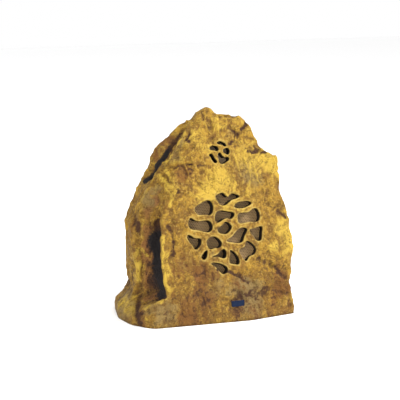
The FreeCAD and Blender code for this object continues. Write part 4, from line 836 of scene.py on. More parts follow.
left, right, low, high = back_block(rock, 0, BACK_SIDES, BACK_HEIGHTS, BACK_Y)
kept[left:right, low:high] = False
back_patch, back_out = fine_patch(left, right, low, high, BACK_STEP)
back_carved = back_patch + back_out * relief(back_patch)[:, None]
far = np.linalg.norm(to_back(back_patch) - (-GLAND_X, GLAND_Z), axis=1) > MOUTH_CLEAR
back_numbers = add_points(back_carved[far])
mouth = recess_ring(MOUTH, 0)
mouth_y = surface_height(mouth[:, [0, 2]], back_patch[:, [0, 2, 1]], back_out[:, [0, 2, 1]])
profile = [(MOUTH, mouth_y), (20.8, mouth_y - 0.5), (20.1, mouth_y - 1.6), (WELL, mouth_y - 4.0),
           (WELL, FLOOR_Y), (BORE, FLOOR_Y), (BORE, PAD_Y), (PAD, PAD_Y)]
pad_numbers = None
for radius, depth_y in profile:
    numbers = add_points(recess_ring(radius, depth_y), hidden=0.0 if pad_numbers is None else 0.3)
    if pad_numbers is None:
        mouth_numbers = numbers
    else:
        add_strip(numbers, pad_numbers)
    pad_numbers = numbers
rim_across, rim_up = rectangle_loop(left, right, low, high)
fill_patch(to_back(rock[rim_across, rim_up]), skin_numbers[rim_across, rim_up],
           [(to_back(mouth)[backwards], mouth_numbers[backwards])], to_back(back_patch[far]), back_numbers)
add_grid(skin_numbers, kept)
last_row = skin_numbers[:, -1]
faces_list.append(np.stack([last_row, np.roll(last_row, -1), np.full(AROUND, peak_number)], 1))
print("back patch", int(far.sum()), "points")

# %% [markdown]
# ## Foot and hollow
# Under the rock a rim stands on the ground. Inside it a rebate takes the base plate up to a seat, and
# above the seat is the hollow. The rings come from the same nine ridge points, moved inwards by the
# rim, the seat and the wall. The left side gets a thicker wall behind its deep slit.

# %% Foot and hollow
RIM, SEAT_TOP, SEAT_INSET, WALL, BACKING = 8, 13, 21, 7, 12
# Height of a ring, how far round that height the skin is searched, inset and share of the backing.
HOLLOW = [(SEAT_TOP, 13, SEAT_INSET, 0), (26, 14, SEAT_INSET, 0)]
HOLLOW += [(height, WALL, WALL, share) for height, share in
           ((62, 0), (110, 0), (165, 0), (205, 0.5), (265, 1), (284, 1), (318, 0.6))]
HOLLOW_ROWS = 31


def ring_at(height):
    """The nine ridge points at a height, straight between the drawn levels."""
    return np.stack([[np.interp(height, HEIGHTS, ridge[:, k]) for k in (0, 1)] for ridge in RIDGES])


def tight_ring(height, reach):
    """For each ridge its point nearest the axis within a reach above and below."""
    rings = np.stack([ring_at(max(height + step * reach, 0)) for step in (-1, -0.5, 0, 0.5, 1)])
    pick = np.linalg.norm(rings + SHIFT[:2], axis=-1).argmin(0)
    return rings[pick, np.arange(len(RIDGES))]


def inset(ring, distance):
    """Moves every side inwards by a distance: each corner goes along its mitre."""
    before, after = ring - np.roll(ring, 1, 0), np.roll(ring, -1, 0) - ring
    before /= np.linalg.norm(before, axis=1, keepdims=True)
    after /= np.linalg.norm(after, axis=1, keepdims=True)
    first = np.stack([-before[:, 1], before[:, 0]], 1)
    second = np.stack([-after[:, 1], after[:, 0]], 1)
    return ring + (first + second) * distance / (1 + (first * second).sum(1, keepdims=True))


def walked(ring, height):
    """A nine-sided ring walked by the same shares as the skin's columns, at one height."""
    first, following = ring[columns[0]], np.roll(ring, -1, 0)[columns[0]]
    net_ring = first + (following - first) * columns[1][:, None]
    closed = np.concatenate([net_ring, net_ring[:1]])
    flat = np.stack([np.interp(around_places, np.arange(NET_AROUND + 1), closed[:, k]) for k in (0, 1)], 1)
    return np.concatenate([flat, np.full((AROUND, 1), float(height))], axis=1)


foot_ring = inset(ring_at(0), RIM)
rim_inner = add_points(walked(foot_ring, 0), hidden=0.6)
rebate_top = add_points(walked(foot_ring, SEAT_TOP), hidden=0.8)
add_strip(rim_inner, skin_numbers[:, 0])
add_strip(rebate_top, rim_inner)
backing = np.zeros((len(RIDGES), 2))
backing[4:7, 0] = BACKING
hollow_rings = np.stack([walked(inset(tight_ring(height, reach), inward) + share * backing, height)
                         for height, reach, inward, share in HOLLOW], axis=1)
last = len(HOLLOW) - 1
rows = np.concatenate([[0, 1], np.linspace(1, last, HOLLOW_ROWS)[1:]])
step = np.minimum(rows.astype(int), last - 1)
rise = hollow_rings[:, step + 1] - hollow_rings[:, step]
hollow = hollow_rings[:, step] + rise * (rows - step)[None, :, None]
print("hollow", hollow.shape, "from", hollow[..., 2].min(), "to", hollow[..., 2].max(), "mm")

# %% [markdown]
# ## Baffle and gland pad
# The hollow is pressed back to the flat baffle behind the grilles. A block of its cells there is opened
# and filled again round the ends of the cracks, and a block at the back round the pad of the gland. The
# blocks are the smallest that hold all cracks, or the pad, with a little room.

# %% Baffle and pad
SIDE_ROOM, END_ROOM, SPARE_COLUMNS, PAD_ROOT = 3, 2, 5, 0.5
PAD_SIDES, PAD_HEIGHTS, PAD_BACK_Y = (66, -26), (SEAT_TOP, 76), 40
over = np.maximum(to_face(hollow)[..., 2] + GRILLE_DEPTH, 0)
hollow = hollow - over[..., None] * FACE_OUT
hollow_numbers = add_points(hollow, hidden=1.0)
top_number = add_points(hollow[:, -1].mean(0)[None], hidden=1.0)[0]
add_strip(hollow_numbers[:, 0], rebate_top)
open_cells = np.ones((AROUND, hollow.shape[1] - 1), bool)
seen = to_face(hollow)
need = np.concatenate([line for line, numbers in baffle_loops])
first_column, last_column = left_edge - SPARE_COLUMNS, right_edge + SPARE_COLUMNS
is_left = (seen[:, 2:30, 0] < need[:, 0].min() - SIDE_ROOM).all(1)
is_right = (seen[:, 2:24, 0] > need[:, 0].max() + SIDE_ROOM).all(1)
left_in = max(i for i in range(first_column, right_edge) if is_left[i] or i == first_column)
right_in = min(i for i in range(left_edge, last_column + 1) if is_right[i] or i == last_column)
is_low = (seen[left_in:right_in, :, 1] < need[:, 1].min() - END_ROOM).all(0)
is_high = (seen[left_in:right_in, :, 1] > need[:, 1].max() + END_ROOM).all(0)
low_in = max(j for j in range(1, 20) if is_low[j])
high_in = min(j for j in range(15, hollow.shape[1]) if is_high[j])
flat = bool((over[left_in:right_in, low_in:high_in] > 0).all())
print("baffle block", left_in, right_in, low_in, high_in, "flat", flat)
open_cells[left_in:right_in, low_in:high_in] = False
rim_across, rim_up = rectangle_loop(left_in, right_in, low_in, high_in)
fill_patch(seen[rim_across, rim_up, :2], hollow_numbers[rim_across, rim_up], baffle_loops, flip=True)
left, right, low, high = back_block(hollow, 4, PAD_SIDES, PAD_HEIGHTS, PAD_BACK_Y)
print("pad block", left, right, low, high)
open_cells[left:right, low:high] = False
rim_across, rim_up = rectangle_loop(left, right, low, high)
pad_ring = recess_ring(PAD, 0)
rim_back = hollow[rim_across, rim_up]
nearest = ((pad_ring[:, None][:, :, [0, 2]] - rim_back[None][:, :, [0, 2]]) ** 2).sum(-1).argmin(1)
pad_ring[:, 1] = rim_back[nearest, 1] - PAD_ROOT
pad_root = add_points(pad_ring, hidden=1.0)
add_strip(pad_root, pad_numbers)
fill_patch(to_back(rim_back), hollow_numbers[rim_across, rim_up],
           [(to_back(pad_ring)[backwards], pad_root[backwards])], flip=True)
add_grid(hollow_numbers, open_cells, flip=True)
last_row = hollow_numbers[:, -1]
faces_list.append(np.stack([last_row, np.full(AROUND, top_number), np.roll(last_row, -1)], 1))

# %% [markdown]
# ## Putting the shell together
# The lists become one mesh. Edges that belong to only one triangle would be gaps, so they are counted.
# The relief stays inside the box of the solids: points that would stand out are held just within it.

# %% Shell mesh
BOX_GAP = 0.02


def edge_ends(triangles):
    """The three edges of every triangle, as pairs of point numbers in its own sense."""
    return np.concatenate([triangles[:, [0, 1]], triangles[:, [1, 2]], triangles[:, [2, 0]]])


def make_mesh(name, points, triangles):
    """A mesh object at the origin from points in millimetres and triangles."""
    mesh = bpy.data.meshes.new(name)
    mesh.vertices.add(len(points))
    places = np.ascontiguousarray((points + SHIFT) * 0.001, dtype=np.float32)
    mesh.vertices.foreach_set("co", places.ravel())
    mesh.loops.add(len(triangles) * 3)
    mesh.loops.foreach_set("vertex_index", np.ascontiguousarray(triangles, dtype=np.int32).ravel())
    mesh.polygons.add(len(triangles))
    mesh.polygons.foreach_set("loop_start", np.arange(len(triangles), dtype=np.int32) * 3)
    mesh.polygons.foreach_set("use_smooth", np.ones(len(triangles), dtype=bool))
    mesh.update(calc_edges=True)
    thing = bpy.data.objects.new(name, mesh)
    bpy.context.scene.collection.objects.link(thing)
    return thing


used, all_faces = np.unique(np.concatenate(faces_list), return_inverse=True)
all_faces = all_faces.reshape(-1, 3)
all_points = np.concatenate(points_list)[used]
all_tones = np.concatenate(tone_list)[used]
inner_box = np.array(solid_box) * 1000 - SHIFT
all_points = np.clip(all_points, inner_box[0] + (BOX_GAP, BOX_GAP, 0), inner_box[1] - BOX_GAP)
ends = edge_ends(all_faces).astype(np.int64)
code = ends[:, 0] * len(used) + ends[:, 1]
back_code = ends[:, 1] * len(used) + ends[:, 0]
print("shell", len(used), "points", len(all_faces), "triangles, open edges",
      int((~np.isin(code, back_code)).sum()), "doubled", len(code) - len(np.unique(code)))
rock_piece = make_mesh("rock", all_points, all_faces)
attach(rock_piece, "root")
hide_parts("rock_shell")

# %% [markdown]
# ## Hollows and edges
# The painter dabbed gold over the whole cast and added patches of rust and olive. The hollows get painted
# shade, and the edges are painted pale, partly as wear and partly as painted highlight. Hollows and edges
# are found from the mesh itself: the points are averaged with their neighbours again and again, and a point
# that ends up lower than its average lies in a hollow. A few rounds find narrow hollows, many rounds find
# wide ones.

# %% Hollows and edges
def smoothed(points, triangles, rounds):
    """Points moved to the mean of their neighbours a number of times, as whole arrays."""
    ends = edge_ends(triangles)
    degree = np.bincount(ends[:, 0], minlength=len(points)).astype(float)
    for turn_number in range(rounds):
        points = np.stack([np.bincount(ends[:, 0], points[ends[:, 1], k], len(points)) for k in range(3)], 1)
        points = points / degree[:, None]
    return points


normals = np.zeros(len(all_points) * 3, dtype=np.float32)
rock_piece.data.vertices.foreach_get("normal", normals)
normals = normals.reshape(-1, 3)
near_hollow = ((smoothed(all_points, all_faces, 6) - all_points) * normals).sum(1)
wide_hollow = ((smoothed(all_points, all_faces, 60) - all_points) * normals).sum(1)
print("hollows up to", near_hollow.max().round(2), "and", wide_hollow.max().round(2), "mm deep")

# %% [markdown]
# ## Patches of paint
# The larger patches have their own places on the photographed rock. Each is a soft ball, with a centre
# and a radius in millimetres and a strength. Noise bends the balls out of shape when they are painted, so
# that no patch is round.

# %% Patches
RUST = [
    ((-44, -37, 252), 20, 1.1), ((-60, -37, 252), 12, 0.8), ((-66, -45, 226), 16, 0.5),
    ((-118, -30, 120), 26, 0.45), ((-112, -60, 44), 20, 0.8), ((-30, -80, 84), 15, 0.7),
    ((-36, -94, 44), 22, 0.9), ((108, -92, 46), 18, 0.9), ((120, -84, 64), 10, 0.7),
    ((30, -104, 14), 44, 0.6), ((-70, -98, 10), 34, 0.9), ((-126, 15, 150), 24, 0.6),
    ((80, -40, 210), 20, 0.4), ((-76, -68, 128), 22, 0.7), ((110, -32, 236), 14, 0.7),
    ((-83, 18, 280), 22, 0.7), ((92, -32, 276), 10, 0.7), ((14, -46, 236), 9, 0.7),
    ((100, -102, 10), 30, 0.6), ((10, 90, 60), 50, 0.6), ((-68, 10, 296), 16, 1.0),
    ((-54, 7, 310), 12, 0.9), ((-80, 18, 282), 16, 0.8), ((-94, -23, 207), 16, 1.0),
    ((-91, -47, 202), 12, 0.8), ((-116, -15, 127), 16, 0.4), ((-121, -13, 92), 14, 0.35),
    ((-132, -4, 123), 6, 1.0), ((-132, -4, 112), 6, 1.0), ((-143, -61, 23), 9, 1.2),
    ((-146, -73, 8), 9, 1.1), ((-137, -48, 31), 7, 0.9), ((-113, -20, 110), 12, 0.45),
    ((-112, -30, 70), 14, 0.6), ((-114, -40, 52), 12, 0.8), ((-39, -77, 90), 16, 0.8),
    ((-36, -84, 66), 18, 0.8), ((-109, -19, 132), 9, 0.7), ((-108, -21, 112), 9, 0.8),
    ((-107, -25, 92), 10, 0.8), ((-107, -36, 72), 10, 0.8), ((112, -90, 52), 12, 0.7),
    ((126, -92, 40), 9, 0.6), ((-56, -75, 105), 14, 0.5), ((-86, -76, 90), 14, 0.5),
]
OLIVE = [
    ((70, -38, 258), 18, 0.45), ((46, -20, 316), 12, 0.6), ((-46, -14, 310), 18, 0.9),
    ((-60, -22, 280), 18, 0.8), ((-98, -16, 218), 20, 0.9), ((-112, -92, 24), 22, 0.65),
    ((40, -96, 56), 26, 0.7), ((-64, -70, 104), 20, 0.5), ((-108, -10, 194), 20, 0.8),
    ((84, -50, 200), 14, 0.5), ((100, -60, 150), 16, 0.4), ((0, 80, 120), 70, 0.5),
    ((-150, 10, 26), 24, 0.8), ((-155, -22, 18), 24, 0.8), ((56, -104, 34), 24, 0.6),
    ((-20, -98, 60), 20, 0.5), ((40, -41, 250), 14, 0.25), ((58, -43, 236), 16, 0.35),
    ((84, -43, 230), 16, 0.35),
]
# The painted shade in the deep crevice is kept apart, because it also counts for the darkest painted shade.
CREVICE_SHADE = [
    ((-95, -28, 140), 15, 1.0), ((-95, -36, 108), 15, 1.1), ((-99, -50, 78), 12, 1.1),
    ((-104, -66, 58), 10, 0.8),
]
# Umber patches; those in the slit, the cracks of the left pillar and the creases near the top right are
# painted shade.
UMBER_AND_SHADE = [
    ((-96, -25, 165), 10, 0.25), ((22, -106, 26), 15, 0.30), ((-67, -44, 226), 4.5, 0.9),
    ((-129, -8, 160), 9, 0.5), ((-40, -37, 250), 16, 0.28), ((-52, 3, 299), 7, 0.7),
    ((-44, 4, 310), 6, 0.7), ((-63, 1, 288), 7, 0.7), ((-124, -5, 160), 5, 0.9),
    ((-128, -4, 150), 4, 0.6), ((-116, -15, 115), 4, 0.7), ((-145, -61, 21), 6, 0.45),
    ((-149, -67, 11), 6, 0.45), ((-140, -52, 30), 6, 0.4), ((70, -19, 324), 9, 0.35),
    ((58, -23, 311), 9, 0.40), ((43, -27, 298), 9, 0.30), ((84, -31, 282), 9, 0.45),
]
# Pale patches: wear, and in part painted highlight on ledges, ribs and the right shoulder.
PALE = [
    ((112, -38, 268), 16, 1.1), ((10, -46, 240), 20, 0.9), ((-14, -52, 222), 18, 0.7),
    ((24, -18, 332), 12, 0.7), ((140, -60, 116), 24, 0.9), ((-110, -72, 106), 6, 0.5),
    ((132, -96, 24), 14, 0.9), ((122, -60, 150), 12, 0.8), ((-30, -55, 212), 14, 0.6),
    ((-122, -15, 90), 6, 0.8), ((-134, -4, 70), 14, 0.5), ((-134, -2, 110), 12, 0.4),
    ((30, -48, 226), 16, 0.6), ((70, -46, 216), 14, 0.4), ((-6, -30, 290), 12, 0.6),
    ((108, -70, 118), 8, 0.6), ((122, -38, 255), 14, 1.0), ((129, -40, 237), 10, 0.8),
    ((136, -60, 140), 16, 0.7), ((134, -56, 167), 12, 0.6), ((-151, 10, 24), 20, 0.7),
    ((-152, -24, 22), 18, 0.7), ((-150, -50, 14), 16, 0.6), ((66, -34, 274), 22, 0.6),
    ((80, -38, 252), 18, 0.5), ((-24, -22, 310), 14, 0.6), ((-3, -47, 222), 16, 0.5),
    ((22, -52, 196), 14, 0.7), ((50, -54, 176), 12, 0.5), ((-128, -70, 34), 5, 1.0),
    ((-111, -83, 43), 5, 1.0), ((-120, -78, 38), 5, 0.9), ((-139, -80, 14), 6, 0.9),
    ((-103, -62, 145), 9, 0.6), ((-102, -70, 121), 11, 0.8), ((-98, -78, 92), 12, 0.8),
    ((-96, -84, 66), 10, 0.7), ((-152, 0, 22), 16, 0.5), ((-156, -30, 14), 14, 0.5),
    ((-126, -9, 118), 6, 0.8), ((-129, -8, 88), 10, 0.9), ((-127, -11, 65), 10, 0.9),
    ((-136, -18, 37), 7, 0.9),
]
CLAY = [
    ((-111, -13, 183), 13, 0.9), ((-110, -16, 154), 13, 1.1), ((-113, -16, 128), 14, 1.1),
    ((-114, -17, 102), 14, 1.1), ((-113, -21, 74), 14, 1.1), ((-118, -28, 56), 14, 1.1),
    ((-117, -40, 44), 13, 1.1), ((-110, -50, 46), 12, 1.0), ((-97, -22, 204), 14, 0.9),
    ((-40, -80, 84), 18, 0.6),
]
# Lines of painted shade: the crevice, the slit with its lower end, a fold beside the crevice, and two
# creases under the large grille.
CREVICE = [(-97, -24, 136), (-95, -26, 119), (-95, -31, 99), (-98, -38, 82), (-101, -48, 65), (-104, -60, 54)]
SLIT = CREASES[0][2]
SLIT_END = [(-80, 4, 266), (-88, 9, 252), (-94, 15, 240), (-99, 20, 232)]
FOLD = [(-105, -20, 118), (-106, -20, 100), (-107, -24, 80), (-108, -30, 62)]
CREASE_SHADE_LINES = [[(64, -78, 102), (74, -78, 98), (88, -79, 94), (106, -82.5, 79), (124, -87, 60)],
         [(-6, -80.6, 87), (16, -81.6, 83), (34, -84, 73), (49, -87, 61)]]
print("patches", len(RUST + OLIVE + CREVICE_SHADE + UMBER_AND_SHADE + PALE + CLAY))

# %% [markdown]
# ## Layers for the paint
# Every layer below has one number for each point of the rock: how far a patch, a hollow, a line or a
# noise covers it. A mask is a sum of such layers, like a painter's recipe.

# %% Paint layers
# The first number is how far the painted shade of carved lines and creases spreads, as a share of their
# reach; the second is the width of the painted shade along the two creases under the large grille.
SHADE_SPREAD, CREASE_SHADE_WIDTH = 0.8, 2.6


def patches(spots):
    """Sum of soft balls, each a bell curve of the distance from its centre. The edge of a large ball is
    broken up more than that of a small one."""
    total = 0
    for centre_spot, radius, strength in spots:
        place = all_points + (bent - all_points) * min(1, radius / 22)
        away = np.linalg.norm(place - np.array(centre_spot, float), axis=1) / radius
        total = total + strength * np.exp(-away ** 2)
    return total


def dark_line(path, width, power, waver):
    """1 on a path and 0 away from it, harder at the edge for a higher power; waver is a share of the bend."""
    away = path_distance(waver * bent + (1 - waver) * all_points, path)
    return np.exp(-(away / width) ** power)


def crack_tone(depth):
    """How much painted shade a carved line gets: 0 up to 1.2 mm deep and 1 from 4 mm; below zero for a rib,
    which is painted pale.
    """
    return np.clip((depth - 1.2) / 2.8, 0, 1) if depth > 0 else max(depth / 4, -0.6)


bent = shaken(all_points, 9, 17, 21)
drawn = wandered(all_points)
low = np.clip((95 - all_points[:, 2]) / 95, 0, 1)
cracked = grooves(drawn, [(reach * SHADE_SPREAD, crack_tone(depth), path) for reach, depth, path in CARVED])
fold = dark_line(FOLD, 9, 2, 1)
layers = {
    "low": low,
    "high": np.clip((all_points[:, 2] - 150) / 120, 0, 1),
    "mottle": (0.40 * noise(bent, 15, 27) + 0.50 * noise(all_points, 7, 28)
               + 0.55 * noise(all_points, 3.8, 29)),
    "streaks": noise(all_points * (1, 1, 0.22), 5.5, 31) * np.clip((190 - all_points[:, 2]) / 80, 0, 1),
    "hollow": np.clip(near_hollow * 1.45, 0, 0.7) * (1 - 0.55 * low),
    "wide hollow": np.clip(wide_hollow * 0.12, 0, 1),
    "pit": np.clip(near_hollow - 0.5, 0, 1),
    "edge": np.clip(-near_hollow, 0, 0.6) * (1 - 0.7 * low),
    "rib": np.clip(-cracked, 0, 1) * (1 - 0.7 * low),
    "crack": np.clip(cracked, 0, 1),
    "groove": grooves(bent, [(reach * SHADE_SPREAD, np.clip(depth / 9, 0, 1), path)
                             for reach, depth, path in CREASES]),
    # painted shade along the two creases under the large grille
    "crease shade": grooves(drawn, [(CREASE_SHADE_WIDTH, 1, path) for path in CREASE_SHADE_LINES]),
    "fold": fold,
    # painted shade along the crevice, the fold, the slit and its lower end
    "dark lines": (dark_line(CREVICE, 16, 2, 0.4) + 0.25 * fold + 0.9 * dark_line(SLIT_END, 8, 4, 0.2)
                   + 0.9 * dark_line(SLIT, 5.5, 4, 0.2)),
    "crevice": patches(CREVICE_SHADE),
    "umber and shade": patches(CREVICE_SHADE + UMBER_AND_SHADE),
    "pale": patches(PALE),
    "rust": patches(RUST),
    "olive": patches(OLIVE),
    "clay": patches(CLAY),
    "rust cloud": np.clip(noise(bent, 38, 25) + 0.1, 0, 1),
    "olive cloud": np.clip(noise(bent, 46, 26) + 0.1, 0, 1),
}
print("layers", len(layers))

# %% [markdown]
# ## Where the paint goes
# Each mask is clipped to 0 to 1 and stored on the mesh as an attribute with one value per point, which the
# material can read. The lips and the hidden faces were marked when their points were made.

# %% Paint masks
RECIPES = {
    # Painted shade in hollows, wide hollows, grooves, carved lines, the creases and along the fold, with the
    # umber patches, brown mottle and streaks, and darker towards the ground.
    "soil_and_shade": {"hollow": 0.72, "wide hollow": 0.22, "groove": 0.6, "crack": 1.6, "crease shade": 0.9, "fold": 0.8,
             "umber and shade": 1, "mottle": 0.10, "streaks": 0.15, "low": 0.42},
    # The darkest painted shade, in the crevice, the slit, the fold and the pits.
    "deep": {"dark lines": 1.15, "crevice": 0.5, "pit": 0.25},
    # Pale paint on edges, ribs and pale patches, partly wear and partly painted highlight; paler towards the
    # top and less pale towards the ground.
    "wear_and_highlight": {"edge": 0.5, "rib": 1.4, "pale": 0.75, "mottle": 0.10, "low": -0.25, "high": 0.20},
    "rust": {"rust": 1, "rust cloud": 0.6, "mottle": 0.40, "low": 0.10, "streaks": 0.35},
    "olive": {"olive": 1, "olive cloud": 0.5, "mottle": 0.35, "low": 0.36},
    "clay": {"clay": 1, "streaks": 0.35, "mottle": 0.30},
}
masks = {name: sum(share * layers[layer] for layer, share in recipe.items())
         for name, recipe in RECIPES.items()}
masks["tone"] = 0.5 + 0.5 * layers["mottle"]
masks["lip"] = all_tones[:, 0] * (0.75 + 0.5 * layers["mottle"])
masks["hidden"] = all_tones[:, 1]
for name, values in masks.items():
    values = np.clip(values, 0, 1)
    layer = rock_piece.data.attributes.new(name, "FLOAT", "POINT")
    layer.data.foreach_set("value", np.ascontiguousarray(values, dtype=np.float32))
    print(name, "mean", round(float(values.mean()), 3), "highest", round(float(values.max()), 3))

# %% [markdown]
# ## Painted stone
# The masks only say where a colour may go. The material breaks them up with fine noise, so that each
# patch looks dabbed on with a sponge, and adds a gritty bump. Hidden faces keep the dark bare resin. An
# image could hold the paint too, but it would need an unwrapped rock, and nodes stay sharp at any size.

# %% Material helpers
def new_material(name):
    """An empty node material with a Principled shader, and a helper that adds and links nodes."""
    material = bpy.data.materials.new(name)
    material.use_nodes = True
    tree = material.node_tree
    shader = tree.nodes["Principled BSDF"]

    def add(kind, inputs=(), **settings):
        """Adds a node; each input is a value or another node's output socket."""
        node = tree.nodes.new(kind)
        for key, value in settings.items():
            setattr(node, key, value)
        for key, value in dict(inputs).items():
            if isinstance(value, bpy.types.NodeSocket):
                tree.links.new(value, node.inputs[key])
            else:
                node.inputs[key].default_value = value
        return node

    return material, tree, shader, add


def speckle(add, scale, detail, rough=0.5, distortion=0.0):
    """Noise on Object coordinates, with a scale per metre, as a number from 0 to 1."""
    place = add("ShaderNodeTexCoord").outputs["Object"]
    node = add("ShaderNodeTexNoise", [("Vector", place), ("Scale", scale), ("Detail", detail),
                                      ("Roughness", rough), ("Distortion", distortion)])
    return node.outputs["Fac"]


def blend(add, share, first, second):
    """Mixes two colours by a share from 0 to 1 and returns the colour socket."""
    node = add("ShaderNodeMix", data_type="RGBA")
    tree = node.id_data
    for index, value in ((0, share), (6, first), (7, second)):
        if isinstance(value, bpy.types.NodeSocket):
            tree.links.new(value, node.inputs[index])
        else:
            node.inputs[index].default_value = value
    return node.outputs[2]


def dabbed(add, mask, grain, low, high, most=1.0):
    """A mask plus centred noise, sharpened between two levels: where the sponge left colour."""
    total = add("ShaderNodeMath", [(0, mask), (1, grain)], operation="ADD")
    step = add("ShaderNodeMapRange", [("Value", total.outputs[0]), ("From Min", low), ("From Max", high),
                                      ("To Max", most)], interpolation_type="SMOOTHSTEP")
    return step.outputs["Result"]


def flecks(add, value, low, high, most):
    """A share from 0 to most where a value goes from one level to another."""
    step = add("ShaderNodeMapRange", [("Value", value), ("From Min", low), ("From Max", high),
                                      ("To Max", most)])
    return step.outputs["Result"]


print("helpers for materials ready, masks", list(masks))

# %% [markdown]
# ## Coats of paint
# The coats go on in order: two tones of gold, dark and light dots, olive, rust, clay, the pale wear with
# painted highlight on edges and ribs, fine wrinkles, the pale lips, brown soil with painted shade in hollows
# and creases, the darkest painted shade in the crevice, the slit and the pits, and last the bare resin. Each
# coat is mixed over the one before.

# %% Stone material
BROWN, GOLD = (0.180, 0.090, 0.017, 1), (0.370, 0.208, 0.025, 1)
COATS = [  # mask or pattern, level where it starts, level where it is full, most cover, colour
    ("dots", 0.44, 0.32, 0.45, (0.090, 0.041, 0.009)),
    ("dots", 0.56, 0.70, 0.45, (0.555, 0.390, 0.083)),
    ("olive", 0.38, 0.98, 0.75, (0.210, 0.146, 0.058)),
    ("rust", 0.45, 1.05, 0.85, (0.162, 0.066, 0.016)),
    ("clay", 0.35, 0.90, 0.8, (0.235, 0.103, 0.034)),
    # pale wear, partly painted highlight on edges and ribs
    ("wear_and_highlight", 0.20, 0.90, 1.0, (0.515, 0.335, 0.046)),
    ("wrinkle", 0.026, 0.004, 0.60, (0.068, 0.034, 0.010)),
    # pale lips, partly painted highlight where light catches the rounded lips
    ("lip", 0.34, 0.90, 0.9, (0.460, 0.315, 0.080)),
    # painted shade in hollows and creases, mixed with brown soil
    ("soil_and_shade", 0.30, 1.00, 1.0, (0.056, 0.025, 0.012)),
    # the darkest painted shade, in the crevice, the slit and the pits
    ("deep", 0.25, 0.90, 1.0, (0.016, 0.013, 0.013)),
    ("hidden", 0.02, 0.40, 1.0, (0.009, 0.007, 0.005)),
]
stone, tree, shader, add = new_material("painted_stone")
attribute = {name: add("ShaderNodeAttribute", attribute_name=name).outputs["Fac"] for name in masks}
sponge = speckle(add, 280.0, 4.0, 0.65)
grit = speckle(add, 620.0, 3.0, 0.7)
lines = speckle(add, 48.0, 4.0, 0.62, 0.6)
middle_line = add("ShaderNodeMath", [(0, lines), (1, -0.5)], operation="ADD").outputs[0]
patterns = {"dots": speckle(add, 330.0, 2.0, 0.5),
            "wrinkle": add("ShaderNodeMath", [(0, middle_line)], operation="ABSOLUTE").outputs[0]}
speck = add("ShaderNodeMath", [(0, sponge), (1, -0.5)], operation="ADD").outputs[0]
paint = blend(add, dabbed(add, attribute["tone"], speck, 0.20, 0.80), BROWN, GOLD)
for where, start, full, most, colour in COATS:
    if where in patterns:
        share = flecks(add, patterns[where], start, full, most)
    else:
        share = dabbed(add, attribute[where], speck, start, full, most)
    paint = blend(add, share, paint, (*colour, 1))
tree.links.new(paint, shader.inputs["Base Color"])
gloss = add("ShaderNodeMapRange", [("Value", sponge), ("To Min", 0.50), ("To Max", 0.80)])
shader.inputs["Specular IOR Level"].default_value = 0.14
tree.links.new(gloss.outputs["Result"], shader.inputs["Roughness"])
fine_bump = add("ShaderNodeBump", [("Height", grit), ("Strength", 0.6), ("Distance", 0.0015)])
dab_bump = add("ShaderNodeBump", [("Height", sponge), ("Strength", 0.9), ("Distance", 0.006),
                                  ("Normal", fine_bump.outputs["Normal"])])
tree.links.new(dab_bump.outputs["Normal"], shader.inputs["Normal"])
rock_piece.data.materials.append(stone)
print("stone with", len(COATS) + 1, "coats")

# %% [markdown]
# ## Perforated metal
# Behind the cracks lies thin perforated metal. It is a honeycomb: each cell is a hexagon with a smaller
# hexagonal hole. An Array modifier could repeat one cell, but it makes a rectangle, and a round disc needs
# whole cells up to its rim. So all cells are made at once, and corners that fall on the same place are
# joined.

# %% Honeycomb
HOLE, RIM_POINTS, METAL = 0.42, 160, 1.0


def honeycomb(size, pitch):
    """Hexagon cells within a radius: their joined corners, which six corners each cell has, and the six
    corners of each hole. Every second row is shifted by half a pitch."""
    span = int(size / pitch) + 2
    column, row = np.meshgrid(np.arange(-span, span + 1), np.arange(-span, span + 1))
    cells = np.stack([pitch * (column + 0.5 * (row % 2)), pitch * row * math.sqrt(0.75)], -1).reshape(-1, 2)
    cells = cells[np.linalg.norm(cells, axis=1) < size - 1.25 * pitch]
    angle = np.arange(6) * math.pi / 3 + math.pi / 6
    hexagon = np.stack([np.cos(angle), np.sin(angle)], 1)
    outer = cells[:, None] + hexagon * pitch / math.sqrt(3)
    whole = (outer.reshape(-1, 2) * 1000).round().astype(np.int64)
    corners, which = np.unique(whole, axis=0, return_inverse=True)
    return corners / 1000, which.reshape(-1, 6), cells[:, None] + hexagon * pitch * HOLE


def outer_loop(corners, which):
    """The corners on the outside of the honeycomb, in order round it: edges that only one cell has."""
    ahead = np.roll(which, -1, 1)
    edge = np.stack([which.T.ravel(), ahead.T.ravel()], 1)
    code = edge[:, 0] * len(corners) + edge[:, 1]
    loop = edge[~np.isin(code, edge[:, 1] * len(corners) + edge[:, 0]), 0]
    return loop[np.argsort(np.arctan2(corners[loop, 1], corners[loop, 0]))]


print("hole share", HOLE, "of the pitch")

# %% [markdown]
# ## Discs on the baffle
# Each disc has a front, a back, the walls of its holes and a plain rim, and it is as wide as the solid
# that it replaces. Its brown is dusty, with a little metal in it. The small disc is painted lighter, as
# painted light that makes up for the little light that comes through the small cracks.

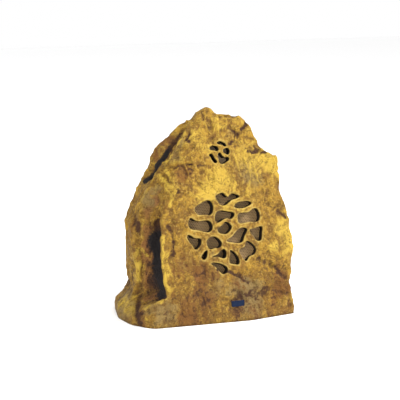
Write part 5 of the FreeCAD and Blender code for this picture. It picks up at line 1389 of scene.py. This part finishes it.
# %% Perforated discs
def disc_mesh(name, node, spot, pitch):
    """A perforated disc as wide as its solid, on the baffle and a metal's thickness behind it: cells with
    holes, a plain rim, and the walls of the holes and the rim."""
    global points_list, faces_list, tone_list, total_points
    points_list, faces_list, tone_list, total_points = [], [], [], 0
    low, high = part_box(node)
    size = (high[0] - low[0]) * 500
    corners, which, holes = honeycomb(size, pitch)
    loop = outer_loop(corners, which)
    angle = np.linspace(0, 2 * math.pi, RIM_POINTS, endpoint=False)
    rim = np.stack([np.cos(angle), np.sin(angle)], 1) * size
    sides = []
    for depth in (-GRILLE_DEPTH, -GRILLE_DEPTH - METAL):
        flip = len(sides) == 1
        parts = [part + spot for part in (corners, holes.reshape(-1, 2), rim)]
        corner_numbers, hole_numbers, rim_numbers = [add_points(from_face(part[:, 0], part[:, 1], depth))
                                                     for part in parts]
        ring, hole = corner_numbers[which], hole_numbers.reshape(-1, 6)
        add_quads(ring, np.roll(ring, -1, 1), np.roll(hole, -1, 1), hole, flip)
        fill_patch(rim, rim_numbers, [(corners[loop], corner_numbers[loop])], flip=flip)
        sides.append((hole, rim_numbers))
    (top, top_rim), (bottom, bottom_rim) = sides
    add_quads(top, np.roll(top, -1, 1), np.roll(bottom, -1, 1), bottom)
    add_strip(bottom_rim, top_rim)
    print(name, len(which), "cells")
    return make_mesh(name, np.concatenate(points_list), np.concatenate(faces_list))


def mesh_metal(name, first, second):
    """Dusty brown metal between two colours."""
    material, tree, shader, add = new_material(name)
    dust = speckle(add, 90.0, 4.0)
    tree.links.new(blend(add, dust, first, second), shader.inputs["Base Color"])
    shader.inputs["Metallic"].default_value = 0.15
    shader.inputs["Roughness"].default_value = 0.55
    return material


wide_mesh = mesh_metal("mesh_metal", (0.40, 0.245, 0.100, 1), (0.56, 0.360, 0.155, 1))
# The small disc's lighter brown is painted light, against the shade behind the small cracks.
small_mesh = mesh_metal("mesh_metal_small", (0.66, 0.46, 0.25, 1), (0.80, 0.60, 0.36, 1))
for name, node, spot, pitch, metal in (("woofer_grille", "woofer_mesh", WOOFER_SPOT, 3.2, wide_mesh),
                                       ("tweeter_grille", "tweeter_mesh", TWEETER_SPOT, 2.4, small_mesh)):
    disc = disc_mesh(name, node, spot, pitch)
    disc.data.polygons.foreach_set("use_smooth", np.zeros(len(disc.data.polygons), dtype=bool))
    disc.data.materials.append(metal)
    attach(disc, "root")
    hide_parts(node)
    print(name, len(disc.data.polygons), "triangles")

# %% [markdown]
# ## Finishes of the other solids
# The drivers, the crossover, the transformer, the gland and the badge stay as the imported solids. Each
# gets a finish made from two close colours, mixed by noise that is as fine as the real material's own
# grain: cast, moulded, drawn, wound or pressed. The badge is a bare enamelled plate.

# %% Finishes
SHINE_SPREAD = 0.08


def finish(name, first, second, scale, rough, metal=0.0, grain=0.0, gloss_level=0.5):
    """A finish between two colours, mixed by noise of a scale per metre, with optional bumpy grain."""
    material, tree, shader, add = new_material(name)
    pattern = speckle(add, scale, 5.0, 0.6)
    tree.links.new(blend(add, pattern, (*first, 1), (*second, 1)), shader.inputs["Base Color"])
    shine = add("ShaderNodeMapRange", [("Value", pattern), ("To Min", rough - SHINE_SPREAD),
                                       ("To Max", rough + SHINE_SPREAD)])
    tree.links.new(shine.outputs["Result"], shader.inputs["Roughness"])
    shader.inputs["Metallic"].default_value = metal
    shader.inputs["Specular IOR Level"].default_value = gloss_level
    if grain:
        bump = add("ShaderNodeBump", [("Height", pattern), ("Strength", grain), ("Distance", 0.0008)])
        tree.links.new(bump.outputs["Normal"], shader.inputs["Normal"])
    return material


FINISHES = [
    (finish("blue_enamel", (0.003, 0.007, 0.022), (0.007, 0.016, 0.042), 300, 0.45, 0, 0, 0.12),
     ["badge_plate"]),
    (finish("black_moulding", (0.018, 0.018, 0.019), (0.030, 0.030, 0.032), 900, 0.55, 0, 0.2),
     ["base_plate", "tweeter_plate", "gland_body", "gland_locknut", "gland_cap"]),
    (finish("black_rubber", (0.012, 0.012, 0.012), (0.024, 0.023, 0.022), 700, 0.75, 0, 0.25),
     ["base_gasket", "woofer_gasket", "woofer_surround", "gland_seal"]),
    (finish("zinc_screw", (0.55, 0.54, 0.50), (0.66, 0.65, 0.62), 800, 0.34, 1.0),
     ["base_screws", "woofer_screws", "tweeter_screws", "crossover_screws", "transformer_screws"]),
    (finish("black_lacquer", (0.020, 0.020, 0.021), (0.035, 0.035, 0.036), 400, 0.42, 0.3), ["woofer_frame"]),
    (finish("grey_cone", (0.035, 0.036, 0.038), (0.055, 0.056, 0.058), 500, 0.48, 0, 0.2),
     ["woofer_cone", "woofer_dust_cap"]),
    (finish("copper_wire", (0.62, 0.25, 0.10), (0.74, 0.34, 0.15), 1200, 0.32, 1.0, 0.4),
     ["woofer_voice_coil", "tweeter_coil", "crossover_inductor"]),
    (finish("amber_cloth", (0.42, 0.26, 0.07), (0.56, 0.37, 0.12), 1500, 0.85, 0, 0.5), ["woofer_spider"]),
    (finish("plated_iron", (0.46, 0.45, 0.40), (0.58, 0.57, 0.52), 350, 0.38, 1.0),
     ["woofer_top_plate", "woofer_yoke", "tweeter_top_plate", "tweeter_yoke"]),
    (finish("ferrite", (0.050, 0.049, 0.048), (0.085, 0.083, 0.080), 650, 0.62, 0, 0.3),
     ["woofer_magnet", "tweeter_magnet"]),
    (finish("coated_silk", (0.06, 0.06, 0.065), (0.09, 0.09, 0.095), 1500, 0.5, 0, 0.3), ["tweeter_dome"]),
    (finish("green_board", (0.020, 0.110, 0.040), (0.035, 0.150, 0.060), 500, 0.4), ["crossover_board"]),
    (finish("brass", (0.68, 0.46, 0.17), (0.78, 0.56, 0.24), 500, 0.3, 1.0), ["crossover_standoffs"]),
    (finish("yellow_film", (0.62, 0.40, 0.04), (0.72, 0.50, 0.07), 300, 0.35), ["crossover_capacitor"]),
    (finish("white_cement", (0.66, 0.64, 0.58), (0.78, 0.76, 0.71), 700, 0.8, 0, 0.4),
     ["crossover_resistor"]),
    (finish("terminal_green", (0.03, 0.17, 0.06), (0.05, 0.22, 0.09), 500, 0.5), ["crossover_terminals"]),
    (finish("dark_sheets", (0.16, 0.16, 0.17), (0.24, 0.24, 0.25), 2200, 0.5, 0.8, 0.3),
     ["transformer_core"]),
    (finish("yellow_tape", (0.60, 0.42, 0.08), (0.70, 0.52, 0.14), 250, 0.45), ["transformer_winding"]),
    (finish("galvanised", (0.50, 0.51, 0.52), (0.64, 0.65, 0.66), 220, 0.42, 1.0), ["transformer_strap"]),
    (finish("pressed_board", (0.22, 0.13, 0.06), (0.32, 0.20, 0.10), 900, 0.85, 0, 0.4),
     ["transformer_saddle"]),
]
dressed = 0
for material, names in FINISHES:
    for name in names:
        thing = nodes[name]
        thing.data.materials.clear()
        thing.data.materials.append(material)
        dressed += 1
print("finishes", len(FINISHES), "on", dressed, "solids")
